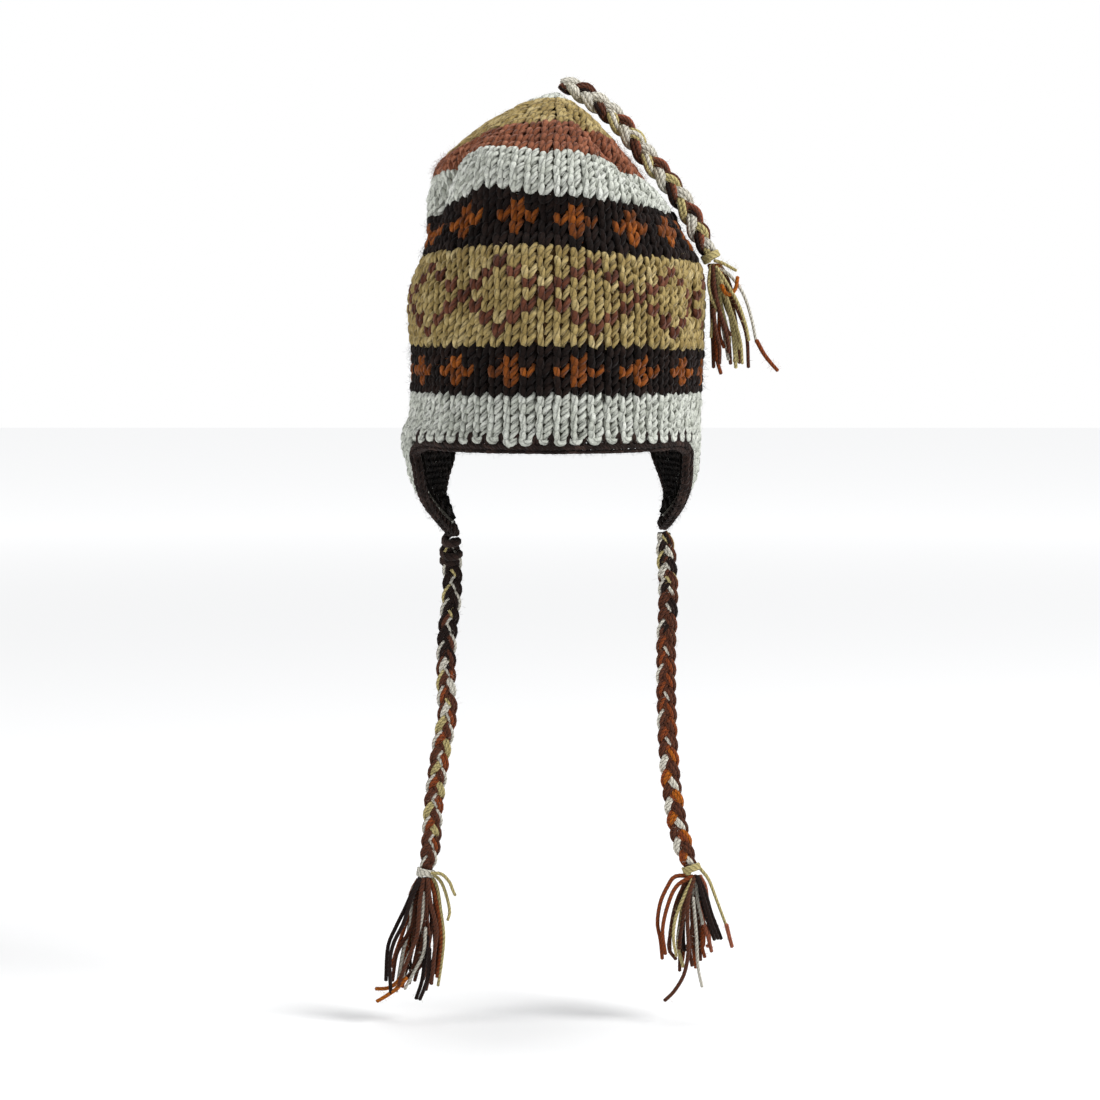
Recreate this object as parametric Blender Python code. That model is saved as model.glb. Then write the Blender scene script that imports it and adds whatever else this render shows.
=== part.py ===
"""Earflap knit hat: a hollow knitted crown that narrows to a soft tip, two ear flaps, a crocheted edge,
and three plaited cords that each end in a tie and a tassel.

The origin is the centre of the brim opening, level with the lower side of the edging at the front.
+Z is up and the wearer faces -Y. Left and right in the names are as seen from the front, so left is -X.
Sizes are millimetres until a mesh or a curve is made.
"""

import math

import bpy
import numpy as np

MM = 0.001
GAP = 0.3

# Knitted walls
CROWN_WALL = 7.0
FLAP_WALL = 6.0
LINING_WALL = 2.0
BRIM_HEIGHT = 7.0
EDGING_DIAMETER = 6.8

# Cords, ties and tassels
BRAID_DIAMETER = 12.5
CROWN_BRAID_DIAMETER = 13.4
CORD_STEP = 6.0
TIE_HEIGHT = 4.0
TIE_RADIUS = 6.5
TASSEL_TOP_RADIUS = 4.8

# How finely the walls are cut
CROWN_COLUMNS = 56
ROWS_PER_RING = 1.5
FLAP_COLUMNS = 14
FLAP_LEVELS = 9
EDGING_STEP = 6.5
TASSEL_SIDES = 14
ROUTE_SAMPLES = 24

# The crown's level sections, one at each change of colour and one inside the taller bands. The row is the
# knitted row that it lies on, counted from the brim. The heights and reaches are those of its four sides.
# Columns: row, height at the front, right, back and left, reach to the front, right, back and left
CROWN_SECTIONS = (
    (0.0, 7.0, 7.0, 7.0, 7.0, 103.5, 88.0, 104.0, 92.5),
    (2.5, 20.0, 19.5, 20.0, 19.5, 104.5, 88.0, 105.0, 88.0),
    (5.0, 33.0, 31.5, 33.0, 32.0, 105.0, 88.5, 105.5, 86.8),
    (10.0, 61.5, 57.0, 60.0, 60.0, 105.0, 90.0, 106.0, 87.3),
    (14.5, 92.0, 84.0, 88.0, 88.0, 104.0, 89.3, 105.0, 88.5),
    (19.0, 120.0, 109.5, 116.0, 114.0, 99.0, 86.0, 101.0, 81.0),
    (21.5, 135.0, 126.0, 132.0, 127.0, 94.5, 78.5, 97.0, 76.8),
    (24.0, 147.5, 140.0, 148.0, 140.0, 91.5, 70.5, 93.0, 75.5),
    (26.5, 162.0, 149.0, 162.0, 152.0, 87.0, 64.0, 89.0, 74.8),
    (29.0, 174.5, 158.0, 175.0, 163.0, 80.5, 54.5, 83.0, 72.5),
    (31.0, 184.5, 169.0, 184.0, 168.0, 72.5, 46.0, 75.0, 71.0),
    (33.0, 192.5, 180.5, 192.0, 173.0, 62.0, 36.5, 64.0, 66.0),
    (36.0, 202.0, 194.0, 201.0, 191.0, 41.0, 24.0, 43.0, 44.0),
    (39.0, 208.0, 205.0, 207.0, 205.5, 19.5, 10.5, 20.5, 17.5),
    (41.0, 211.0, 211.0, 211.0, 211.0, 2.0, 0.5, 2.0, 2.0),
)

# Dents and folds of the crown. The turn is the angle from the front, positive to the right. A fold may run
# slantwise, by lean degrees a row. Push moves the wall inwards and lift moves it up.
# Columns: turn, row, spread in degrees, spread in rows, lean, push, lift
FOLDS = {
    "hollow_under_white_band": (-16.0, 21.3, 30.0, 2.7, 0.0, 11.0, 1.0),
    "white_band_overhang": (-12.0, 26.0, 42.0, 2.6, 0.0, -3.5, 1.0),
    "pattern_band_bulge": (-8.0, 15.5, 45.0, 3.6, 0.0, -2.5, 0.0),
    "raised_left_front": (-34.0, 26.0, 17.0, 5.0, 0.0, 0.0, 8.0),
    "front_right_sag": (28.0, 19.0, 22.0, 4.0, 0.0, 0.0, -4.0),
    "left_crease": (-66.0, 25.0, 6.5, 4.6, 3.2, 8.0, -3.0),
    "left_side_slump": (-92.0, 25.0, 14.0, 5.0, 3.2, -1.5, -5.0),
    "right_ridge_crease": (47.0, 29.5, 8.0, 5.2, -4.6, 6.5, -4.0),
    "right_side_crease": (68.0, 14.5, 5.0, 3.0, 0.0, 4.5, 0.0),
    "right_side_bulge": (84.0, 17.0, 9.0, 3.0, 0.0, -2.5, 0.0),
}

# An ear flap's level sections
# Columns: height, sideways reach of the left and the right flap's outer face, y of the front and the back edge
FLAP_SECTIONS = (
    (6.7, 92.4, 88.0, -38.5, 73.0),
    (-2.0, 92.6, 88.0, -38.0, 72.0),
    (-11.0, 90.3, 87.3, -36.0, 67.0),
    (-21.0, 87.8, 86.0, -31.5, 59.0),
    (-31.0, 83.0, 82.5, -24.0, 47.0),
    (-39.0, 77.0, 78.5, -15.0, 34.5),
    (-46.0, 71.0, 74.0, -5.0, 22.0),
    (-51.0, 67.0, 70.5, 4.0, 13.0),
)
# Half the length of the ellipse that a flap follows in plan, and how long each flap hangs against the table
FLAP_PLAN_DEPTH = 104.0
FLAP_LENGTH = {"left": 1.0, "right": 0.93}
SIDE_SIGN = {"left": -1.0, "right": 1.0}
# The share of a flap's width and height that its lining covers: where it starts and how much it takes
LINING_ACROSS = (0.04, 0.92)
LINING_DOWN = (0.03, 0.9)
# Where the edging follows the brim, in degrees from the front: in front of the flaps and behind them
BRIM_FRONT = (-58.0, 58.0)
BRIM_BACK = (145.0, 215.0)

# Points that each cord runs through, from where it leaves the hat to its tie: x, y, z
BRAID_ROUTES = {
    "braid_left": (
        (-63.6, 8.0, -59.4),
        (-62.8, 4.0, -89.0),
        (-66.0, 0.0, -120.0),
        (-66.4, -4.0, -150.0),
        (-65.6, -6.0, -165.0),
        (-69.5, -9.0, -187.0),
        (-73.6, -13.0, -217.0),
        (-75.6, -16.0, -244.0),
        (-78.2, -17.0, -258.8),
    ),
    "braid_right": (
        (66.8, 7.5, -55.2),
        (68.4, 5.0, -72.0),
        (69.3, 2.0, -95.0),
        (68.0, -1.5, -125.0),
        (68.2, -5.0, -160.0),
        (69.6, -9.0, -192.0),
        (72.4, -12.0, -218.0),
        (77.0, -15.0, -241.0),
        (82.6, -17.0, -256.4),
    ),
    "crown_braid": (
        (4.0, -2.0, 217.4),
        (15.3, -3.0, 212.7),
        (25.6, -4.0, 205.3),
        (36.0, -5.0, 196.8),
        (45.4, -6.0, 185.9),
        (54.5, -6.0, 174.1),
        (64.4, -6.0, 162.9),
        (73.5, -6.0, 151.2),
        (81.5, -6.0, 139.0),
        (87.5, -6.0, 126.0),
        (93.0, -6.0, 115.2),
    ),
}

# Each tassel's sections below its tie, down to its ends
# Columns: the centre's x, y and z, half the width, half the depth
TASSELS = {
    "tassel_left": (
        (-80.6, -18.0, -274.0, 9.5, 7.5),
        (-82.0, -18.5, -290.0, 14.5, 10.0),
        (-86.0, -19.0, -309.0, 17.5, 11.5),
        (-91.0, -19.0, -328.0, 18.5, 11.0),
        (-92.5, -19.0, -337.0, 15.0, 8.0),
    ),
    "tassel_right": (
        (85.5, -18.5, -272.0, 10.0, 8.0),
        (83.0, -19.0, -288.0, 17.5, 11.0),
        (84.5, -19.0, -305.0, 20.0, 12.0),
        (85.0, -19.0, -318.0, 18.0, 11.0),
        (85.0, -19.0, -324.0, 13.0, 8.0),
    ),
    "crown_tassel": (
        (99.5, -7.5, 99.0, 7.5, 7.5),
        (103.0, -8.0, 84.0, 11.0, 10.0),
        (106.0, -8.0, 66.0, 13.5, 11.0),
        (108.0, -8.0, 51.0, 13.0, 10.0),
        (108.5, -8.0, 45.0, 9.0, 7.0),
    ),
}

# Yarn colours, as sRGB
WHITE_YARN = "C9CCC3"
DARK_YARN = "33261F"
LINING_CLOTH = "15120F"
BRAID_YARN = "5E3B26"
CROWN_BRAID_YARN = "A89C84"
CREAM_YARN = "D8C9A8"
TASSEL_YARN = "6A4024"


def clear_scene():
    for obj in list(bpy.data.objects):
        bpy.data.objects.remove(obj, do_unlink=True)


def linear(hex_colour):
    """An sRGB hex colour as the linear values that a shader takes."""
    parts = np.array([int(hex_colour[i : i + 2], 16) for i in (0, 2, 4)]) / 255
    return [*np.where(parts <= 0.04045, parts / 12.92, ((parts + 0.055) / 1.055) ** 2.4), 1.0]


def cloth_material(name, hex_colour):
    material = bpy.data.materials.new(name)
    material.use_nodes = True
    shader = material.node_tree.nodes["Principled BSDF"]
    shader.inputs["Base Color"].default_value = linear(hex_colour)
    shader.inputs["Roughness"].default_value = 0.9
    shader.inputs["Metallic"].default_value = 0.0
    material.diffuse_color = linear(hex_colour)
    return material


def smooth_table(table, at):
    """Each column of the table after its first, read at values of the first by a cubic through the table's rows."""
    table = np.array(table)
    keys = table[:, 0]
    values = table[:, 1:]
    slopes = np.gradient(values, keys, axis=0)
    at = np.clip(at, min(keys[0], keys[-1]), max(keys[0], keys[-1]))
    order = 1 if keys[-1] > keys[0] else -1
    i = np.clip(np.searchsorted(order * keys, order * at, side="right") - 1, 0, len(keys) - 2)
    width = keys[i + 1] - keys[i]
    t = ((at - keys[i]) / width)[..., None]
    width = width[..., None]
    return (
        (1 + 2 * t) * (1 - t) ** 2 * values[i]
        + t * (1 - t) ** 2 * width * slopes[i]
        + t**2 * (3 - 2 * t) * values[i + 1]
        - t**2 * (1 - t) * width * slopes[i + 1]
    )


def crown_surface(turn, row):
    """Points of the crown's outer face, for angles from the front in degrees and knitted rows from the brim.

    Each level section is four quarter ellipses, so x = right or left reach times sin(turn) and y = -front or
    back reach times cos(turn). The height blends the four sides' heights by sin and cos squared. Each fold
    then moves the wall by a bell-shaped weight.
    """
    turn, row = np.broadcast_arrays(np.asarray(turn, float), np.asarray(row, float))
    z_front, z_right, z_back, z_left, front, right, back, left = np.moveaxis(smooth_table(CROWN_SECTIONS, row), -1, 0)
    sine = np.sin(np.radians(turn))
    cosine = np.cos(np.radians(turn))
    x = np.where(sine > 0, right, left) * sine
    y = -np.where(cosine > 0, front, back) * cosine
    z = np.where(cosine > 0, z_front, z_back) * cosine**2 + np.where(sine > 0, z_right, z_left) * sine**2
    inwards = np.stack([-sine, cosine], axis=-1)
    for fold_turn, fold_row, turn_spread, row_spread, lean, push, lift in FOLDS.values():
        away = (turn - fold_turn - lean * (row - fold_row) + 180) % 360 - 180
        weight = np.exp(-((away / turn_spread) ** 2) - ((row - fold_row) / row_spread) ** 2)
        x = x + weight * push * inwards[..., 0]
        y = y + weight * push * inwards[..., 1]
        z = z + weight * lift
    return np.stack([x, y, z], axis=-1)


def unit(vectors):
    return vectors / np.linalg.norm(vectors, axis=-1, keepdims=True)


def inward_normals(grid, closed):
    """The unit normals of a grid of points whose first index goes up or down and whose second goes round."""
    if closed:
        around = np.roll(grid, -1, axis=1) - np.roll(grid, 1, axis=1)
    else:
        around = np.gradient(grid, axis=1)
    normals = unit(np.cross(np.gradient(grid, axis=0), around))
    centre = np.array([0.0, 0.0, grid[..., 2].mean()])
    facing = np.sign(((centre - grid) * normals).sum(axis=-1)).sum()
    return normals * (1 if facing > 0 else -1)


def mesh_object(name, points, faces, hex_colour):
    """A mesh object from points in millimetres, with its faces turned outwards."""
    mesh = bpy.data.meshes.new(name)
    mesh.from_pydata((np.asarray(points) * MM).tolist(), [], [list(map(int, face)) for face in faces])
    mesh.validate()
    corners = np.array([[mesh.vertices[i].co for i in triangle.vertices] for triangle in mesh.loop_triangles])
    if np.linalg.det(corners).sum() < 0:
        mesh.flip_normals()
    mesh.materials.append(cloth_material(name, hex_colour))
    mesh.shade_smooth()
    bpy.context.scene.collection.objects.link(bpy.data.objects.new(name, mesh))


def ring_faces(levels, columns, first, turned):
    """Quads between the rings of a closed grid whose points start at the index first."""
    faces = []
    for level in range(levels - 1):
        for column in range(columns):
            after = (column + 1) % columns
            low, high = first + level * columns, first + (level + 1) * columns
            face = [low + column, low + after, high + after, high + column]
            faces.append(face[::-1] if turned else face)
    return faces


def fan_faces(columns, first, apex, turned):
    faces = []
    for column in range(columns):
        face = [first + column, first + (column + 1) % columns, apex]
        faces.append(face[::-1] if turned else face)
    return faces


def make_crown():
    """The crown's wall: an outer and an inner skin of rings, joined round the brim and each closed at the tip."""
    turns = np.arange(CROWN_COLUMNS) * 360 / CROWN_COLUMNS
    rows = np.arange(0, CROWN_SECTIONS[-2][0] + 0.1, ROWS_PER_RING)
    outer = crown_surface(turns[None, :], rows[:, None])
    inner_rings = len(rows) - 2
    inner = (outer + CROWN_WALL * inward_normals(outer, closed=True))[:inner_rings]
    inner[0, :, 2] = outer[0, :, 2]
    outer_tip = crown_surface([0.0, 180.0], [CROWN_SECTIONS[-1][0]] * 2).mean(axis=0)
    inner_tip = outer_tip - [0, 0, 2 * CROWN_WALL]
    points = np.concatenate([outer.reshape(-1, 3), inner.reshape(-1, 3), [outer_tip, inner_tip]])
    inside = outer.shape[0] * CROWN_COLUMNS
    faces = ring_faces(len(rows), CROWN_COLUMNS, 0, turned=False)
    faces += fan_faces(CROWN_COLUMNS, inside - CROWN_COLUMNS, len(points) - 2, turned=False)
    faces += ring_faces(inner_rings, CROWN_COLUMNS, inside, turned=True)
    faces += fan_faces(CROWN_COLUMNS, inside + (inner_rings - 1) * CROWN_COLUMNS, len(points) - 1, turned=True)
    for column in range(CROWN_COLUMNS):
        after = (column + 1) % CROWN_COLUMNS
        faces.append([column, inside + column, inside + after, after])
    mesh_object("crown", points, faces, WHITE_YARN)


def flap_surface(side, across, down):
    """Points of a flap's outer face: across runs from its front edge, 0, to its back edge, 1, and down from the
    crown, 0, to the tip, 1. In plan it follows an ellipse: x = reach times the root of 1 - (y / depth) squared.
    """
    across, down = np.broadcast_arrays(np.asarray(across, float), np.asarray(down, float))
    sections = np.array(FLAP_SECTIONS)
    top, tip = sections[0, 0], sections[-1, 0]
    height = top + (tip - top) * down
    left, right, y_front, y_back = np.moveaxis(smooth_table(FLAP_SECTIONS, height), -1, 0)
    reach = left if side == "left" else right
    y = y_front + (y_back - y_front) * across
    x = SIDE_SIGN[side] * reach * np.sqrt(1 - (y / FLAP_PLAN_DEPTH) ** 2)
    z = top + (height - top) * FLAP_LENGTH[side]
    return np.stack([x, y, z], axis=-1)


def sheet_solid(name, outer, inner, hex_colour):
    """A closed wall between two open grids of points of the same size."""
    levels, columns = outer.shape[:2]
    index = np.arange(levels * columns).reshape(levels, columns)
    other = index + index.size
    quads = np.stack([index[:-1, :-1], index[:-1, 1:], index[1:, 1:], index[1:, :-1]], axis=-1).reshape(-1, 4)
    faces = [*quads, *(quads[:, ::-1] + index.size)]
    rim = [*index[0, :-1], *index[:-1, -1], *index[-1, :0:-1], *index[:0:-1, 0]]
    for here, there in zip(rim, rim[1:] + rim[:1]):
        faces.append([there, here, other.flat[here], other.flat[there]])
    mesh_object(name, np.concatenate([outer.reshape(-1, 3), inner.reshape(-1, 3)]), faces, hex_colour)


def make_flap(side):
    """One ear flap and the lining on its inner face, which stops a little short of the flap's edges."""
    down = np.linspace(0, 1, FLAP_LEVELS)[:, None]
    across = np.linspace(0, 1, FLAP_COLUMNS)[None, :]
    outer = flap_surface(side, across, down)
    inwards = inward_normals(outer, closed=False)
    inner = outer + FLAP_WALL * inwards
    inner[0, :, 2] = outer[0, :, 2]
    sheet_solid(f"ear_flap_{side}", outer, inner, WHITE_YARN)
    (first_across, share_across), (first_down, share_down) = LINING_ACROSS, LINING_DOWN
    outer = flap_surface(side, first_across + share_across * across, first_down + share_down * down)
    inwards = inward_normals(outer, closed=False)
    near = outer + (FLAP_WALL + 2 * GAP) * inwards
    sheet_solid(f"flap_lining_{side}", near, near + LINING_WALL * inwards, LINING_CLOTH)


def smooth_route(points, step, cyclic=False):
    """Points about one step apart along a smooth curve through the given points (a Catmull-Rom curve)."""
    points = np.array(points)
    if cyclic:
        ends = [points[-1], *points, points[0], points[1]]
    else:
        ends = [2 * points[0] - points[1], *points, 2 * points[-1] - points[-2]]
    ends = np.array(ends)
    t = np.linspace(0, 1, ROUTE_SAMPLES, endpoint=False)[:, None]
    pieces = []
    for a, b, c, d in zip(ends, ends[1:], ends[2:], ends[3:]):
        pieces.append(b + 0.5 * t * (c - a + t * (2 * a - 5 * b + 4 * c - d + t * (3 * (b - c) + d - a))))
    fine = np.concatenate([*pieces, [ends[-2]]])
    along = np.concatenate([[0], np.cumsum(np.linalg.norm(np.diff(fine, axis=0), axis=1))])
    count = max(2, round(along[-1] / step)) + 1
    wanted = np.linspace(0, along[-1], count)
    route = np.stack([np.interp(wanted, along, fine[:, axis]) for axis in range(3)], axis=1)
    return route[:-1] if cyclic else route


def make_tube(name, route, diameter, hex_colour, cyclic=False):
    """A plain round cord along a route."""
    curve = bpy.data.curves.new(name, "CURVE")
    curve.dimensions = "3D"
    curve.bevel_depth = diameter / 2 * MM
    curve.bevel_resolution = 2
    curve.use_fill_caps = not cyclic
    spline = curve.splines.new("POLY")
    spline.points.add(len(route) - 1)
    for point, place in zip(spline.points, route):
        point.co = (*(place * MM), 1.0)
    spline.use_cyclic_u = cyclic
    curve.materials.append(cloth_material(name, hex_colour))
    bpy.context.scene.collection.objects.link(bpy.data.objects.new(name, curve))


def flap_edging_route(side):
    """The edging's centre line round one flap, from its front edge down to the tip and up its back edge."""
    sections = np.array(FLAP_SECTIONS)
    z = sections[0, 0] + (sections[:, 0] - sections[0, 0]) * FLAP_LENGTH[side]
    outline = np.concatenate([
        np.stack([sections[:, 3], z, sections[:, 0]], axis=1),
        np.stack([sections[::-1, 4], z[::-1], sections[::-1, 0]], axis=1),
    ])
    along = unit(np.gradient(outline[:, :2], axis=0))
    away = EDGING_DIAMETER / 2 + GAP
    y = outline[:, 0] + along[:, 1] * away
    z = outline[:, 1] - along[:, 0] * away
    reach = smooth_table(FLAP_SECTIONS, outline[:, 2])[:, 0 if side == "left" else 1] - FLAP_WALL / 2
    # Below the flap the wall keeps leaning in, so the tip's points move in by half of how far they drop.
    reach -= 0.5 * np.maximum(0, outline[:, 1] - z)
    x = SIDE_SIGN[side] * reach * np.sqrt(1 - (y / FLAP_PLAN_DEPTH) ** 2)
    return np.stack([x, y, z], axis=1)[1:-1]


def brim_edging_route(first_turn, last_turn, count):
    """The edging's centre line under a stretch of the brim, between two angles from the front."""
    turns = np.linspace(first_turn, last_turn, count)
    rim = crown_surface(turns, 0.0)
    rim[:, :2] *= 1 - (FLAP_WALL / 2) / np.linalg.norm(rim[:, :2], axis=1, keepdims=True)
    rim[:, 2] = BRIM_HEIGHT - 2 * GAP - EDGING_DIAMETER / 2
    return rim


def make_edging():
    """One closed loop: the front of the brim, the right flap, the back of the brim and the left flap."""
    route = np.concatenate([
        brim_edging_route(*BRIM_FRONT, 13),
        flap_edging_route("right"),
        brim_edging_route(*BRIM_BACK, 7),
        flap_edging_route("left")[::-1],
    ])
    make_tube("edging", smooth_route(route, EDGING_STEP, cyclic=True), EDGING_DIAMETER, DARK_YARN, cyclic=True)


def lofted_solid(name, sections, first_direction, hex_colour):
    """A closed solid through oval rings, each square to the line through the centres. A section is its centre's
    x, y and z and two half widths.
    """
    sections = np.array(sections)
    along = unit(np.gradient(sections[:, :3], axis=0))
    along[0] = first_direction
    across = unit(np.array([1.0, 0.0, 0.0]) - along[:, :1] * along)
    through = np.cross(along, across)
    angles = np.arange(TASSEL_SIDES)[None, :, None] * 2 * math.pi / TASSEL_SIDES
    rings = sections[:, None, :3] + np.cos(angles) * (across * sections[:, 3:4])[:, None]
    rings = rings + np.sin(angles) * (through * sections[:, 4:5])[:, None]
    points = np.concatenate([rings.reshape(-1, 3), sections[[0, -1], :3]])
    last = (len(sections) - 1) * TASSEL_SIDES
    faces = ring_faces(len(sections), TASSEL_SIDES, 0, turned=False)
    faces += fan_faces(TASSEL_SIDES, 0, len(points) - 2, turned=True)
    faces += fan_faces(TASSEL_SIDES, last, len(points) - 1, turned=False)
    mesh_object(name, points, faces, hex_colour)


def make_tie(name, end, direction):
    """The yarn wound round a braid's end: a short barrel in line with the cord."""
    sections = []
    for share, bulge in ((0.0, 0.85), (0.3, 1.0), (0.7, 1.0), (1.0, 0.85)):
        centre = end + direction * (GAP + TIE_HEIGHT * share)
        sections.append([*centre, TIE_RADIUS * bulge, TIE_RADIUS * bulge])
    lofted_solid(name, sections, direction, CREAM_YARN)


def make_tassel(name, end, direction):
    """The loose yarn ends below a tie, as one solid of their outer form."""
    top = [*(end + direction * (TIE_HEIGHT + 2 * GAP)), TASSEL_TOP_RADIUS, TASSEL_TOP_RADIUS]
    lofted_solid(name, [top, *TASSELS[name]], direction, TASSEL_YARN)


def main():
    clear_scene()
    make_crown()
    for side in SIDE_SIGN:
        make_flap(side)
    make_edging()
    for braid, tie, tassel, diameter, colour in (
        ("crown_braid", "crown_tie", "crown_tassel", CROWN_BRAID_DIAMETER, CROWN_BRAID_YARN),
        ("braid_left", "tie_left", "tassel_left", BRAID_DIAMETER, BRAID_YARN),
        ("braid_right", "tie_right", "tassel_right", BRAID_DIAMETER, BRAID_YARN),
    ):
        route = smooth_route(BRAID_ROUTES[braid], CORD_STEP)
        direction = unit(route[-1] - route[-2])
        make_tube(braid, route, diameter, colour)
        make_tie(tie, route[-1], direction)
        make_tassel(tassel, route[-1], direction)


main()
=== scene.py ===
"""Earflap knit hat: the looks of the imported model.

A hand-knitted wool hat in bands of white, dark brown, khaki and rust, with a crocheted edge, dark lined ear flaps,
and three plaited cords that end in tassels. +Z is up and the front of the hat faces -Y. Lengths are metres.
"""

import math

import bpy
import numpy as np
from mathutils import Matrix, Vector


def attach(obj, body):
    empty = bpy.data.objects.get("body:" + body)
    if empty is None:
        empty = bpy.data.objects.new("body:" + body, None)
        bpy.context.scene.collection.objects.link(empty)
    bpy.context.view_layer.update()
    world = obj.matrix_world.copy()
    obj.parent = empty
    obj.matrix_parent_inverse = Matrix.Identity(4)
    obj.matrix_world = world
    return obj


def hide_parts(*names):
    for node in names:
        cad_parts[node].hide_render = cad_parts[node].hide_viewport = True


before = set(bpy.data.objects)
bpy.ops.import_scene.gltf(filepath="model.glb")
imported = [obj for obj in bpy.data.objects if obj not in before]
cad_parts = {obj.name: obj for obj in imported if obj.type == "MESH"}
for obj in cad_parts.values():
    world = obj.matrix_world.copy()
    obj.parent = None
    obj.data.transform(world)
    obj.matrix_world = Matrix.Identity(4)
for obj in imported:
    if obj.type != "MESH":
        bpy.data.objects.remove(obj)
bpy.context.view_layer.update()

# Studio
# A white surround and a plain pale floor, as for a catalogue picture. The camera stands two metres in front,
# a little above the middle of the hat, with a long lens. Soft light comes from both sides, more from the right.

MM = 0.001
PICTURE_PIXELS = 1100
SENSOR_MM = 36.0
FOCAL_PIXELS = 3290.0
CAMERA_PLACE = (0.0, -2.0, 0.100)
CAMERA_TARGET = (-0.003, 0.0, -0.065)
FLOOR_HEIGHT = -0.352
FLOOR_HALF = 8.0


def link(name, data):
    """A new object at the origin, in the scene."""
    made = bpy.data.objects.new(name, data)
    bpy.context.scene.collection.objects.link(made)
    return made


def aimed(made, place, target):
    """Puts a camera or a lamp at a place, with its -Z axis on the target."""
    made.location = place
    made.rotation_euler = (Vector(target) - Vector(place)).to_track_quat("-Z", "Y").to_euler()
    return made


def linear(hex_colour):
    """An sRGB hex colour as linear red, green, blue and alpha."""
    parts = np.array([int(hex_colour[i : i + 2], 16) for i in (0, 2, 4)]) / 255
    return (*np.where(parts <= 0.04045, parts / 12.92, ((parts + 0.055) / 1.055) ** 2.4), 1.0)


def node(tree, kind, settings=None, links=None):
    """Adds a shader node, with its properties and sockets set and its inputs linked."""
    made = tree.nodes.new(kind)
    for key, value in (settings or {}).items():
        if isinstance(key, str) and hasattr(made, key):
            setattr(made, key, value)
        else:
            made.inputs[key].default_value = value
    for key, output in (links or {}).items():
        tree.links.new(output, made.inputs[key])
    return made


camera = link("camera", bpy.data.cameras.new("camera"))
camera.data.sensor_width = SENSOR_MM
camera.data.lens = FOCAL_PIXELS / PICTURE_PIXELS * SENSOR_MM
camera.data.clip_end = 50
aimed(camera, CAMERA_PLACE, CAMERA_TARGET)
bpy.context.scene.camera = camera
bpy.context.scene.view_settings.view_transform = "Standard"

for lamp, place, size, watts in (
    ("key_lamp", (2.0, -0.9, 1.5), 1.1, 66),
    ("fill_lamp", (-2.1, -0.7, 1.1), 1.3, 25),
    ("top_lamp", (0.2, 0.3, 2.4), 1.2, 30),
):
    light = bpy.data.lights.new(lamp, "AREA")
    light.size = size
    light.energy = watts
    aimed(link(lamp, light), place, (0, 0, 0.02))

surround = bpy.data.worlds.new("white_surround")
bpy.context.scene.world = surround
surround.use_nodes = True
surround.node_tree.nodes.clear()
path = node(surround.node_tree, "ShaderNodeLightPath")
soft = node(surround.node_tree, "ShaderNodeBackground", {"Color": (0.95, 0.97, 1.0, 1.0), "Strength": 0.23})
plain = node(surround.node_tree, "ShaderNodeBackground", {"Color": (1.0, 1.0, 1.0, 1.0), "Strength": 1.0})
seen = node(surround.node_tree, "ShaderNodeMixShader", links={
    0: path.outputs["Is Camera Ray"],
    1: soft.outputs[0],
    2: plain.outputs[0],
})
node(surround.node_tree, "ShaderNodeOutputWorld", links={0: seen.outputs[0]})

floor_mesh = bpy.data.meshes.new("floor")
floor_mesh.from_pydata(
    [(x * FLOOR_HALF, y * FLOOR_HALF, FLOOR_HEIGHT) for x, y in ((-1, -1), (1, -1), (1, 1), (-1, 1))],
    [],
    [(0, 1, 2, 3)],
)
floor = link("floor", floor_mesh)
# White paper that glows a little more with distance, so that it meets the white surround without an edge.
paper = bpy.data.materials.new("floor_white_paper")
paper.use_nodes = True
tree = paper.node_tree
shader = tree.nodes["Principled BSDF"]
shader.inputs["Base Color"].default_value = linear("F2F2F2")
shader.inputs["Roughness"].default_value = 0.85
shader.inputs["Specular IOR Level"].default_value = 0.1
shader.inputs["Emission Color"].default_value = (1.0, 1.0, 1.0, 1.0)
where = node(tree, "ShaderNodeTexCoord")
distance = node(tree, "ShaderNodeVectorMath", {"operation": "LENGTH"}, {0: where.outputs["Object"]})
glow = node(tree, "ShaderNodeMapRange", {"From Min": 0.5, "From Max": 4.0, "To Min": 0.12, "To Max": 0.72}, {
    0: distance.outputs["Value"]
})
tree.links.new(glow.outputs[0], shader.inputs["Emission Strength"])
floor_mesh.materials.append(paper)

# Crown
# The body of the hat, knitted in the round from the brim to the tip in chunky two-colour wool: 60 stitches round
# and 41 rows. It is one cloth that sits loosely, so its front sags into a hollow and its sides crease.

CROWN_STITCHES = 60
CROWN_ROWS = 41
FRONT_STITCH = 2.65
ROW_BELOW_BRIM = 5.2
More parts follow.
